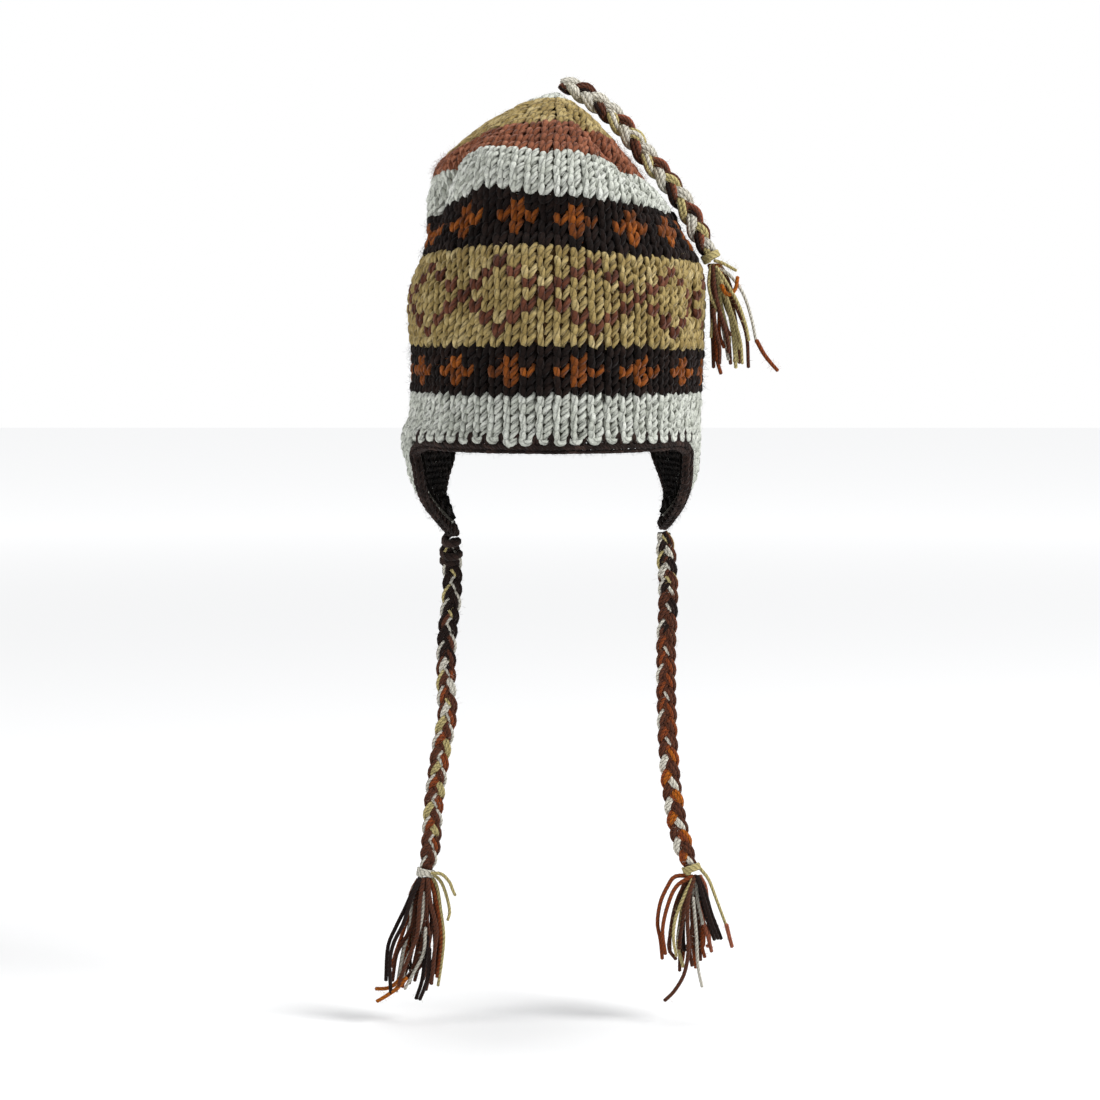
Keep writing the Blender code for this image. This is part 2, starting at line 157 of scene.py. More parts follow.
# The level sections that the cloth follows
# Columns: row, height at the front, right, back and left, reach to the front, right, back and left, millimetres
CROWN_SECTIONS = (
    (0.0, 7.0, 7.0, 7.0, 7.0, 103.5, 88.0, 104.0, 92.5),
    (2.5, 20.0, 19.5, 20.0, 19.5, 104.5, 88.0, 105.0, 88.0),
    (5.0, 33.0, 31.5, 33.0, 32.0, 105.0, 88.5, 105.5, 86.8),
    (10.0, 61.5, 57.0, 60.0, 60.0, 105.0, 90.0, 106.0, 87.3),
    (14.5, 92.0, 84.0, 88.0, 88.0, 104.0, 89.3, 105.0, 88.5),
    (19.0, 120.0, 109.5, 116.0, 114.0, 99.0, 86.0, 101.0, 81.0),
    (21.5, 135.0, 126.0, 132.0, 127.0, 94.5, 78.5, 97.0, 76.8),
    (24.0, 147.5, 140.0, 148.0, 140.0, 91.5, 70.5, 93.0, 75.5),
    (26.5, 162.0, 149.0, 162.0, 152.0, 87.0, 64.0, 89.0, 74.8),
    (29.0, 174.5, 158.0, 175.0, 163.0, 80.5, 54.5, 83.0, 72.5),
    (31.0, 184.5, 169.0, 184.0, 168.0, 72.5, 46.0, 75.0, 71.0),
    (33.0, 192.5, 180.5, 192.0, 173.0, 62.0, 36.5, 64.0, 66.0),
    (36.0, 202.0, 194.0, 201.0, 191.0, 41.0, 24.0, 43.0, 44.0),
    (39.0, 208.0, 205.0, 207.0, 205.5, 19.5, 10.5, 20.5, 17.5),
    (41.0, 211.0, 211.0, 211.0, 211.0, 2.0, 0.5, 2.0, 2.0),
)
# Columns: turn from the front, row, spread in degrees, spread in rows, lean, push inwards, lift
FOLDS = {
    "hollow_under_white_band": (-16.0, 21.3, 30.0, 2.7, 0.0, 14.0, 1.0),
    "white_band_overhang": (-12.0, 26.0, 42.0, 2.6, 0.0, -4.5, 1.0),
    "pattern_band_bulge": (-8.0, 15.5, 45.0, 3.6, 0.0, -2.5, 0.0),
    "raised_left_front": (-34.0, 26.0, 17.0, 5.0, 0.0, 0.0, 8.0),
    "front_right_sag": (28.0, 19.0, 22.0, 4.0, 0.0, 0.0, -4.0),
    "left_crease": (-66.0, 25.5, 7.0, 4.6, 3.2, 15.0, -5.0),
    "left_side_slump": (-92.0, 25.0, 14.0, 5.0, 3.2, -1.5, -5.0),
    "right_ridge_crease": (47.0, 29.5, 8.5, 5.2, -4.6, 11.0, -5.0),
    "right_side_crease": (68.0, 14.5, 5.0, 3.0, 0.0, 4.5, 0.0),
    "right_side_bulge": (84.0, 17.0, 9.0, 3.0, 0.0, -2.5, 0.0),
}


def smooth_table(table, at):
    """Each column of the table after its first, read at values of the first by a cubic through the table's rows."""
    table = np.array(table)
    keys, values = table[:, 0], table[:, 1:]
    slopes = np.gradient(values, keys, axis=0)
    at = np.clip(at, min(keys[0], keys[-1]), max(keys[0], keys[-1]))
    order = 1 if keys[-1] > keys[0] else -1
    i = np.clip(np.searchsorted(order * keys, order * at, side="right") - 1, 0, len(keys) - 2)
    width = (keys[i + 1] - keys[i])[..., None]
    t = (at - keys[i])[..., None] / width
    return (
        (1 + 2 * t) * (1 - t) ** 2 * values[i]
        + t * (1 - t) ** 2 * width * slopes[i]
        + t**2 * (3 - 2 * t) * values[i + 1]
        - t**2 * (1 - t) * width * slopes[i + 1]
    )


def crown_surface(turn, row):
    """The cloth's outer face, for angles from the front in degrees and knitted rows from the brim, in metres.

    Each level section is four quarter ellipses: x = side reach times sin(turn), y = -front or back reach times
    cos(turn). The height blends the four sides' heights by sin and cos squared. Each fold then moves the cloth
    by a bell-shaped weight. Below the brim the cloth runs straight down.
    """
    turn, row = np.broadcast_arrays(np.asarray(turn, float), np.asarray(row, float))
    z_front, z_right, z_back, z_left, front, right, back, left = np.moveaxis(smooth_table(CROWN_SECTIONS, row), -1, 0)
    sine = np.sin(np.radians(turn))
    cosine = np.cos(np.radians(turn))
    x = np.where(sine > 0, right, left) * sine
    y = -np.where(cosine > 0, front, back) * cosine
    z = np.where(cosine > 0, z_front, z_back) * cosine**2 + np.where(sine > 0, z_right, z_left) * sine**2
    z = z + np.minimum(row, 0) * ROW_BELOW_BRIM
    for fold_turn, fold_row, turn_spread, row_spread, lean, push, lift in FOLDS.values():
        away = (turn - fold_turn - lean * (row - fold_row) + 180) % 360 - 180
        weight = np.exp(-((away / turn_spread) ** 2) - ((row - fold_row) / row_spread) ** 2)
        x = x - weight * push * sine
        y = y + weight * push * cosine
        z = z + weight * lift
    return np.stack([x, y, z], axis=-1) * MM


def unit(vectors):
    """The vectors at length one."""
    return vectors / np.maximum(np.linalg.norm(vectors, axis=-1, keepdims=True), 1e-12)


class Cloth:
    """A grid of points and outward normals that stitches are laid on. A place on it is a share of the way across,
    from 0 to 1, and a row. A ring of cloth is closed: its shares wrap round.
    """

    def __init__(self, points, rows, closed, centre):
        around = np.roll(points, -1, axis=1) - np.roll(points, 1, axis=1) if closed else np.gradient(points, axis=1)
        self.normals = unit(np.cross(around, np.gradient(points, axis=0)))
        if ((points - centre) * self.normals).sum() < 0:
            self.normals = -self.normals
        self.points, self.rows, self.closed = points, rows, closed

    def read(self, share, row, depth):
        """The point at each share and row, moved out of the cloth by depth, and the normal there, by bilinear reading."""
        share, row, depth = np.broadcast_arrays(share, row, depth)
        levels, columns = self.points.shape[:2]
        up = np.clip(np.interp(row, self.rows, np.arange(levels)), 0, levels - 1.001)
        if self.closed:
            along = (share % 1) * columns
        else:
            along = np.clip(share, 0, 1) * (columns - 1.001)
        i, j = up.astype(int), along.astype(int)
        a, b = (up - i)[..., None], (along - j)[..., None]
        after = (j + 1) % columns
        j = j % columns
        found = []
        for grid in (self.points, self.normals):
            low = grid[i, j] * (1 - b) + grid[i, after] * b
            high = grid[i + 1, j] * (1 - b) + grid[i + 1, after] * b
            found.append(low * (1 - a) + high * a)
        normal = unit(found[1])
        return found[0] + normal * depth[..., None], normal


def crown_cloth():
    """The crown as a cloth whose shares are equal lengths of each row, with share 0 at the front's middle."""
    rows = np.arange(-2, CROWN_ROWS + 0.01, 0.25)
    turns = np.linspace(0, 360, 721)
    ring = crown_surface(turns[None, :], rows[:, None])
    steps = np.linalg.norm(np.diff(ring, axis=1), axis=2)
    lengths = np.concatenate([np.zeros((len(rows), 1)), np.cumsum(steps, axis=1)], axis=1)
    shares = np.arange(480) / 480
    even = np.array([np.interp(shares, line / line[-1], turns) for line in lengths])
    # The cloth at the left of the patterned band has slipped sideways by most of a stitch.
    away = (shares[None, :] + 0.108 + 0.5) % 1 - 0.5
    slip = 5.2 * np.exp(-((away / 0.06) ** 2) - ((rows[:, None] - 14.5) / 4.0) ** 2)
    points = crown_surface(even + slip, rows[:, None])
    return Cloth(points, rows, True, np.array([0, 0, 0.09]))


# One knitted stitch, from the strand before it to the strand after it: across in stitch widths, up in rows,
# out of the cloth in millimetres, and the yarn's radius in millimetres. The left leg stands nearly upright and
# the right leg leans, as they do in cloth knitted from strongly twisted yarn.
STITCH = np.array([
    (-0.52, -0.56, -4.1, 1.20),
    (-0.36, -0.68, -3.4, 1.30),
    (-0.22, -0.62, -2.1, 1.65),
    (-0.20, -0.38, -1.15, 1.98),
    (-0.22, -0.05, -0.80, 2.08),
    (-0.26, 0.28, -1.05, 2.02),
    (-0.27, 0.56, -2.0, 1.70),
    (-0.17, 0.80, -3.5, 1.30),
    (0.07, 0.92, -4.2, 1.20),
    (0.32, 0.84, -3.5, 1.30),
    (0.42, 0.62, -2.2, 1.60),
    (0.35, 0.32, -1.15, 1.78),
    (0.22, 0.00, -0.80, 1.80),
    (0.11, -0.32, -1.35, 1.62),
    (0.09, -0.58, -2.6, 1.40),
    (0.26, -0.68, -3.6, 1.25),
    (0.48, -0.56, -4.1, 1.20),
])
YARN_SIDES = 7
STITCH_RINGS = 14


def curve_through(points, count):
    """Points along a smooth curve through the given rows of numbers, evenly in the rows' order (Catmull-Rom)."""
    points = np.asarray(points, float)
    padded = np.concatenate([[2 * points[0] - points[1]], points, [2 * points[-1] - points[-2]]])
    t = np.linspace(0, len(points) - 1, count)
    i = np.minimum(t.astype(int), len(points) - 2)
    t = (t - i)[:, None]
    a, b, c, d = (padded[i + k] for k in range(4))
    return b + 0.5 * t * (c - a + t * (2 * a - 5 * b + 4 * c - d + t * (3 * (b - c) + d - a)))


def mesh_piece(name, points, corners, sizes, material, slot, yarn_uv=None, **attributes):
    """A mesh piece that rides on the hat: its points, the corners of its faces in a row, and each face's number of
    corners. yarn_uv holds one pair per corner. An attribute holds one number, or one colour, per point.
    """
    mesh = bpy.data.meshes.new(name)
    mesh.vertices.add(len(points))
    mesh.vertices.foreach_set("co", np.ascontiguousarray(points, np.float32).ravel())
    mesh.loops.add(len(corners))
    mesh.loops.foreach_set("vertex_index", np.asarray(corners, np.int32))
    mesh.polygons.add(len(sizes))
    mesh.polygons.foreach_set("loop_start", np.concatenate([[0], np.cumsum(sizes)[:-1]]).astype(np.int32))
    mesh.polygons.foreach_set("use_smooth", np.ones(len(sizes), bool))
    if yarn_uv is not None:
        mesh.uv_layers.new(name="yarn").data.foreach_set("uv", np.ascontiguousarray(yarn_uv, np.float32).ravel())
    for key, values in attributes.items():
        values = np.asarray(values, np.float32)
        kind, field = ("FLOAT", "value") if values.ndim == 1 else ("FLOAT_COLOR", "color")
        mesh.attributes.new(key, kind, "POINT").data.foreach_set(field, values.ravel())
    mesh.update(calc_edges=True)
    mesh.materials.append(material)
    piece = link(name, mesh)
    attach(piece, "root")
    return piece


def yarn_frame(centres, normals):
    """Along, across and outward directions at every ring of every yarn, square to each other."""
    along = unit(np.gradient(centres, axis=1))
    across = unit(np.cross(along, normals))
    return along, across, np.cross(across, along)


def yarn_tubes(name, centres, normals, radii, sides, material, slot, tones=None, dyes=None, flatten=0.88):
    """Many yarns as one mesh. centres is yarns by rings by 3 and radii is yarns by rings. tones is one number per
    yarn, and dyes is one colour per ring of each yarn.

    A ring is an ellipse square to the yarn: the centre plus radius times cos along the cloth and sin times
    flatten out of it. Each end closes to a point. UV: u is the length along the yarn in millimetres, v goes
    round once, from the side that lies in the cloth.
    """
    yarns, rings = radii.shape
    along, across, outwards = yarn_frame(centres, normals)
    angles = np.arange(sides) * 2 * math.pi / sides - math.pi / 2
    around = (
        np.cos(angles)[:, None] * across[:, :, None, :] + flatten * np.sin(angles)[:, None] * outwards[:, :, None, :]
    )
    skin = centres[:, :, None, :] + radii[:, :, None, None] * around
    tips = centres[:, [0, -1]] + along[:, [0, -1]] * np.array([-0.5, 0.5])[None, :, None] * radii[:, [0, -1], None]
    per_yarn = rings * sides + 2
    points = np.concatenate([skin.reshape(yarns, -1, 3), tips], axis=1).reshape(-1, 3)

    ring, side = np.meshgrid(np.arange(rings - 1), np.arange(sides), indexing="ij")
    after = (side + 1) % sides
    quads = np.stack([
        ring * sides + side, ring * sides + after, (ring + 1) * sides + after, (ring + 1) * sides + side
    ], axis=-1).reshape(-1, 4)
    side = np.arange(sides)
    start = np.stack([(side + 1) % sides, side, np.full(sides, per_yarn - 2)], axis=-1)
    last = (rings - 1) * sides
    end = np.stack([last + side, last + (side + 1) % sides, np.full(sides, per_yarn - 1)], axis=-1)
    offsets = np.arange(yarns)[:, None] * per_yarn
    corners = np.concatenate([
        (offsets + quads.reshape(1, -1)).reshape(yarns, -1),
        (offsets + start.reshape(1, -1)).reshape(yarns, -1),
        (offsets + end.reshape(1, -1)).reshape(yarns, -1),
    ], axis=1).ravel()
    sizes = np.tile(np.concatenate([np.full(len(quads), 4), np.full(2 * sides, 3)]), yarns)

    lengths = np.linalg.norm(np.diff(centres, axis=1), axis=2)
    lengths = np.concatenate([np.zeros((yarns, 1)), np.cumsum(lengths, axis=1)], axis=1) / MM
    v_side = np.tile(np.stack([side, side + 1, side + 1, side], axis=-1) / sides, (rings - 1, 1))
    u = lengths[:, (quads // sides).ravel()]
    v = np.tile(v_side.ravel(), (yarns, 1))
    u = np.concatenate([u, np.zeros((yarns, 3 * sides)), np.repeat(lengths[:, -1:], 3 * sides, axis=1)], axis=1)
    v = np.concatenate([v, np.full((yarns, 6 * sides), 0.5)], axis=1)
    # Each yarn's twist starts at its own place.
    u = u + (np.arange(yarns) * 7.31 % 23)[:, None]

    attributes = {}
    if tones is not None:
        attributes["tone"] = np.repeat(tones, per_yarn)
    if dyes is not None:
        skin_dyes = np.repeat(dyes, sides, axis=1)
        attributes["dye"] = np.concatenate([skin_dyes, dyes[:, [0, -1]]], axis=1).reshape(-1, 4)
    return mesh_piece(name, points, corners, sizes, material, slot, np.stack([u.ravel(), v.ravel()], axis=-1), **attributes)


def fuzz(name, centres, normals, radii, count, reach, lift, material, slot, dice, tones=None, dyes=None):
    """Loose fibres that stand off yarns. Each is a thin spindle with three sides, bent at its middle.

    It starts inside the yarn, at a random ring and a random place round its outer half, and heads along the
    yarn and outwards. reach is its length and lift its rise, in millimetres. Wool's own fibres are 0.03 mm
    thick. They are drawn at 0.12 mm, so that a few stand for many.
    """
    yarns, rings = radii.shape
    along, across, outwards = yarn_frame(centres, normals)
    yarn = dice.integers(0, yarns, count)
    ring = dice.integers(1, rings - 1, count)
    angle = math.pi / 2 + 0.9 * dice.standard_normal(count)
    radial = np.cos(angle)[:, None] * across[yarn, ring] + np.sin(angle)[:, None] * outwards[yarn, ring]
    root = centres[yarn, ring] + radial * 0.7 * radii[yarn, ring][:, None]
    heading = unit(
        dice.standard_normal((count, 1)) * along[yarn, ring]
        + 0.9 * dice.standard_normal((count, 1)) * across[yarn, ring]
        + 0.3 * radial
    )
    reach = reach * MM * dice.uniform(0.5, 1.3, (count, 1))
    rise = lift * MM * dice.uniform(0.3, 1.4, (count, 1)) * radial
    middle = root + heading * reach * 0.5 + rise + 0.08 * reach * dice.standard_normal((count, 3))
    tip = root + heading * reach + rise * dice.uniform(0.2, 1.8, (count, 1))
    side = unit(np.cross(heading, radial))
    other = np.cross(side, heading)
    turns = np.arange(3) * 2 * math.pi / 3
    ring_points = middle[:, None] + 0.06 * MM * (
        np.cos(turns)[:, None] * side[:, None] + np.sin(turns)[:, None] * other[:, None]
    )
    points = np.concatenate([root[:, None], ring_points, tip[:, None]], axis=1).reshape(-1, 3)
    faces = np.array([(0, 2, 1), (0, 3, 2), (0, 1, 3), (4, 1, 2), (4, 2, 3), (4, 3, 1)])
    first = points[faces[0]] - points[0]
    if np.cross(first[1], first[2]) @ (points[faces[0]].mean(axis=0) - points[1:4].mean(axis=0)) < 0:
        faces = faces[:, ::-1]
    corners = (np.arange(count)[:, None] * 5 + faces.reshape(1, -1)).ravel()
    uv = np.tile([0.0, 1 / 6], (len(corners), 1))
    attributes = {}
    if tones is not None:
        attributes["tone"] = np.repeat(tones[yarn], 5)
    if dyes is not None:
        attributes["dye"] = np.repeat(dyes[yarn, ring], 5, axis=0)
    return mesh_piece(name, points, corners, np.full(count * 6, 3), material, slot, uv, **attributes)


def wool(name, colours=None, plies=3, turn_mm=19.0, ply_depth=0.32, sheen=0.1, painted_groove_shade=0.45):
    """Plied wool yarn, spun thick and a little uneven. The plies wind round the yarn as ridges, and fine fibres lie
    along them. The grooves between the plies are painted darker, as painted shade. colours are the dark, middle and
    pale hex values that a stitch's tone chooses from. Without them the yarn takes the colour of its own dye attribute.
    """
    material = bpy.data.materials.new(name)
    material.use_nodes = True
    tree = material.node_tree
    shader = tree.nodes["Principled BSDF"]
    shader.inputs["Roughness"].default_value = 0.95
    shader.inputs["Sheen Weight"].default_value = sheen
    shader.inputs["Sheen Roughness"].default_value = 0.5
    shader.inputs["Specular IOR Level"].default_value = 0.12
    yarn = node(tree, "ShaderNodeUVMap", {"uv_map": "yarn"})
    place = node(tree, "ShaderNodeSeparateXYZ", links={0: yarn.outputs[0]})
    turns = node(tree, "ShaderNodeMath", {"operation": "DIVIDE", 1: turn_mm}, {0: place.outputs[0]})
    twist = node(tree, "ShaderNodeMath", {"operation": "ADD"}, {0: turns.outputs[0], 1: place.outputs[1]})
    phase = node(tree, "ShaderNodeMath", {"operation": "MULTIPLY", 1: plies * math.pi}, {0: twist.outputs[0]})
    wave = node(tree, "ShaderNodeMath", {"operation": "SINE"}, {0: phase.outputs[0]})
    ridge = node(tree, "ShaderNodeMath", {"operation": "ABSOLUTE"}, {0: wave.outputs[0]})
    ridge = node(tree, "ShaderNodeMath", {"operation": "POWER", 1: 0.6}, {0: ridge.outputs[0]})
    # Fibres lie along the twist. They are drawn about 0.4 mm apart, coarser than wool's own, so that they show.
    slow = node(tree, "ShaderNodeMath", {"operation": "MULTIPLY", 1: 0.35}, {0: place.outputs[0]})
    fast = node(tree, "ShaderNodeMath", {"operation": "MULTIPLY", 1: 30.0}, {0: twist.outputs[0]})
    lie = node(tree, "ShaderNodeCombineXYZ", links={0: slow.outputs[0], 1: fast.outputs[0]})
    fibres = node(tree, "ShaderNodeTexNoise", {"Scale": 1.0, "Detail": 2.0, "Roughness": 0.6}, {"Vector": lie.outputs[0]})
    where = node(tree, "ShaderNodeTexCoord")
    felt = node(tree, "ShaderNodeTexNoise", {"Scale": 1300.0, "Detail": 2.0}, {"Vector": where.outputs["Object"]})
    mixed = node(tree, "ShaderNodeMath", {"operation": "MULTIPLY"}, {0: fibres.outputs[0], 1: felt.outputs[0]})
    # Painted shade: the grooves between the plies are painted darker, down to the given fraction at their deepest.
    groove_shading = node(tree, "ShaderNodeMapRange", {"From Min": 0.1, "From Max": 0.8, "To Min": painted_groove_shade, "To Max": 1.0}, {
        0: ridge.outputs[0]
    })
    dusty = node(tree, "ShaderNodeMapRange", {"From Min": 0.12, "From Max": 0.4, "To Min": 0.68, "To Max": 1.16}, {
        0: mixed.outputs[0]
    })
    # The colour's multiplier: the painted groove shade times the fibres' random mottle.
    dark = node(tree, "ShaderNodeMath", {"operation": "MULTIPLY"}, {0: groove_shading.outputs[0], 1: dusty.outputs[0]})
    if colours is None:
        dye = node(tree, "ShaderNodeAttribute", {"attribute_name": "dye"}).outputs["Color"]
    else:
        uneven = node(tree, "ShaderNodeTexNoise", {"Scale": 120.0, "Detail": 2.0}, {"Vector": where.outputs["Object"]})
        tone = node(tree, "ShaderNodeAttribute", {"attribute_name": "tone"})
        blend = node(tree, "ShaderNodeMath", {"operation": "ADD"}, {0: tone.outputs["Fac"], 1: uneven.outputs[0]})
        ramp = node(tree, "ShaderNodeValToRGB", links={0: blend.outputs[0]})
        ramp.color_ramp.elements[0].position = 0.2
        ramp.color_ramp.elements[0].color = linear(colours[0])
        ramp.color_ramp.elements[1].position = 0.8
        ramp.color_ramp.elements[1].color = linear(colours[2])
        ramp.color_ramp.elements.new(0.5).color = linear(colours[1])
        dye = ramp.outputs[0]
    tinted = node(tree, "ShaderNodeVectorMath", {"operation": "SCALE"}, {0: dye, "Scale": dark.outputs[0]})
    tree.links.new(tinted.outputs[0], shader.inputs["Base Color"])
    height = node(tree, "ShaderNodeMath", {"operation": "MULTIPLY", 1: 0.8}, {0: mixed.outputs[0]})
    height = node(tree, "ShaderNodeMath", {"operation": "ADD"}, {0: ridge.outputs[0], 1: height.outputs[0]})
    bump = node(tree, "ShaderNodeBump", {"Distance": ply_depth * MM * 2, "Strength": 1.0}, {
        "Height": height.outputs[0]
    })
    tree.links.new(bump.outputs[0], shader.inputs["Normal"])
    return material


WOOLS = {
    "white": wool("white_wool", ("B9BCB1", "CDD0C6", "DADCD4")),
    "dark": wool("dark_brown_wool", ("110A08", "1A110E", "281B16"), sheen=0.04),
    "khaki": wool("khaki_wool", ("8A7546", "A6915C", "C4B180")),
    "rust": wool("rust_wool", ("6E402B", "8C543B", "A3684C")),
    "orange": wool("orange_wool", ("5E300E", "824414", "A0581C")),
    "lattice": wool("brown_lattice_wool", ("4A281B", "623827", "784A36")),
}


def chart_colour(row, stitch):
    """The yarn of each stitch, read off the knitting chart. stitch counts to the right from the one that is 2.65
    stitches left of the front's middle.

    Bands from the brim: 5 rows white, 5 dark, 9 khaki, 5 dark, 5 white, 4 rust, 6 khaki, 2 white. In a dark band
    an orange cross of three rows stands on every fourth stitch. In the khaki band brown diagonals cross at every
    sixth stitch of the middle row and meet again three rows above and below it.
    """
    colour = np.select(
        [row < 5, row < 10, row < 19, row < 24, row < 29, row < 33, row < 39],
        ["white", "dark", "khaki", "dark", "white", "rust", "khaki"],
        "white",
    )
    for first in (5, 19):
        up = np.abs(row - first - 2)
        aside = np.abs((stitch + 2) % 4 - 2)
        colour = np.where(up + aside <= 1, np.where((row >= first) & (row < first + 5), "orange", colour), colour)
    up = np.abs(row - 14)
    aside = np.abs((stitch - 2 + 3) % 6 - 3)
    return np.where((up <= 3) & (aside == up), "lattice", colour)


def stitch_places():
    """Row, stitch number, share of the way round and width in shares of every stitch. Above the rust band's middle
    the rows have fewer stitches.
    """
    rows, stitches, shares, widths = [], [], [], []
    for row in range(CROWN_ROWS):
        count = int(np.select([row < 31, row < 33, row < 35, row < 37, row < 39], [60, 48, 40, 30, 20], 12))
        number = np.arange(count) - count // 2
        rows.append(np.full(count, row))
        stitches.append(number)
        shares.append((number - (FRONT_STITCH if count == CROWN_STITCHES else 0.5)) / count)
        widths.append(np.full(count, 1 / count))
    return [np.concatenate(part) for part in (rows, stitches, shares, widths)]


def laid_stitches(cloth, shares, rows, widths, dice):
    """The centre line, normals and radii of a stitch at every share and row, each a little unlike the next."""
    count = len(rows)
    shape = curve_through(STITCH, STITCH_RINGS)
    across = shape[:, 0] * (1 + 0.06 * dice.standard_normal((count, 1))) + 0.035 * dice.standard_normal((count, 1))
    up = shape[:, 1] * (1 + 0.05 * dice.standard_normal((count, 1))) + 0.05 * dice.standard_normal((count, 1))
    depth = shape[:, 2] + 0.3 * dice.standard_normal((count, 1))
    radii = shape[:, 3] * (1 + 0.07 * dice.standard_normal((count, 1))) * MM
    centres, normals = cloth.read(shares[:, None] + across * widths[:, None], rows[:, None] + 0.5 + up, depth * MM)
    return centres, normals, radii


crown = crown_cloth()
dice = np.random.default_rng(41)
rows, stitches, shares, widths = stitch_places()
colours = chart_colour(rows, stitches)
centres, normals, radii = laid_stitches(crown, shares, rows, widths, dice)
tones = 0.09 * dice.standard_normal(len(rows))
# Fibres per stitch, their length and their rise: the brown wools are hairier than the others.
HAIR = {
    "white": (5, 3.6, 0.7),
    "dark": (16, 5.0, 1.2),
    "khaki": (5, 3.6, 0.7),
    "rust": (16, 5.0, 1.2),
    "orange": (9, 3.6, 0.8),
    "lattice": (12, 4.0, 0.9),
}
for yarn, material in WOOLS.items():
    chosen = colours == yarn
    stitch = (centres[chosen], normals[chosen], radii[chosen])
    piece = yarn_tubes(
        f"crown_{yarn}_stitches", *stitch, YARN_SIDES, material, "crown_knit", tones=tones[chosen]
    )
    if yarn == "white":
        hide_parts("crown")
    hairs, reach, lift = HAIR[yarn]
    fuzz(
        f"crown_{yarn}_fibres", *stitch, hairs * int(chosen.sum()), reach, lift, material, "crown_knit", dice,
        tones=tones[chosen],
    )

# Cast-on edge of the crown
# The first loops of white wool along the brim stand out as a row of knuckles, one under each column of stitches.

CAST_ON = np.array([
    (-0.42, 0.10, -3.2, 1.30),
    (-0.34, -0.35, -1.4, 1.75),
    (-0.12, -0.78, -0.6, 2.05),
    (0.12, -0.80, -0.6, 2.05),
    (0.34, -0.35, -1.4, 1.75),
    (0.42, 0.10, -3.2, 1.30),
])


def laid_loops(cloth, shape, shares, rows, widths, rings, dice):
    """A loop of the given shape at every share and row of a cloth, each a little unlike the next."""
    shape = curve_through(shape, rings)
    count = len(rows)
    across = shape[:, 0] + 0.05 * dice.standard_normal((count, 1))
    up = shape[:, 1] * (1 + 0.12 * dice.standard_normal((count, 1)))
    radii = shape[:, 3] * (1 + 0.09 * dice.standard_normal((count, 1))) * MM
    found, normals = cloth.read(shares[:, None] + across * widths[:, None], rows[:, None] + up, shape[:, 2] * MM)
    return found, normals, radii


first = rows == 0
brim_shares = shares[first] - 0.03 / CROWN_STITCHES
brim_points, _ = crown.read(brim_shares, np.zeros(CROWN_STITCHES), np.zeros(CROWN_STITCHES))
# Where an ear flap hangs, the cloth goes on downwards and has no cast-on edge.
FLAP_FRONT, FLAP_BACK = -0.040, 0.074
bare = (brim_points[:, 1] < FLAP_FRONT) | (brim_points[:, 1] > FLAP_BACK)
edge_widths = np.full(int(bare.sum()), 1 / CROWN_STITCHES)
edge_rows = np.full(int(bare.sum()), 0.55)
knuckles = laid_loops(crown, CAST_ON, brim_shares[bare], edge_rows, edge_widths, 11, dice)
yarn_tubes("crown_cast_on", *knuckles, 8, WOOLS["white"], "crown_knit", tones=0.08 * dice.standard_normal(len(edge_rows)))

# Inside of the crown
# The felted middle of the knitted wall, which closes the gaps between stitches. From inside the hat it shows between
# the rows of purl bumps, in the same bands as the outside. Its colours are painted much darker than the yarns', as
# painted shade in the gaps between stitches.

BACKING_DEPTHS = (-2.3, -3.3)


def wall(name, outer, inner, closed, material, slot, **attributes):
    """A closed wall between two grids of points of the same size, joined along their borders. Each attribute is
    one number for every point of a grid.
    """
    levels, columns = outer.shape[:2]
    index = np.arange(levels * columns).reshape(levels, columns)
    if closed:
        index = np.concatenate([index, index[:, :1]], axis=1)
    quads = np.stack([index[:-1, :-1], index[:-1, 1:], index[1:, 1:], index[1:, :-1]], axis=-1).reshape(-1, 4)
    borders = [index[0, ::-1], index[-1]] if closed else [
        np.concatenate([index[-1], index[-2::-1, -1], index[0, -2::-1], index[1:, 0]])
    ]
    count = levels * columns
    rims = [
        np.stack([line[:-1], line[1:], line[1:] + count, line[:-1] + count], axis=-1) for line in borders
    ]
    faces = np.concatenate([quads, quads[:, ::-1] + count, *[rim[:, ::-1] for rim in rims]])
    points = np.concatenate([outer.reshape(-1, 3), inner.reshape(-1, 3)])
    middle = points.mean(axis=0)
    volume = sum(np.linalg.det(points[faces[:, pick]] - middle).sum() for pick in ([0, 1, 2], [0, 2, 3]))
    if volume < 0:
        faces = faces[:, ::-1]
    values = {key: np.tile(np.ravel(value), 2) for key, value in attributes.items()}
    return mesh_piece(name, points, faces.ravel(), np.full(len(faces), 4), material, slot, **values)


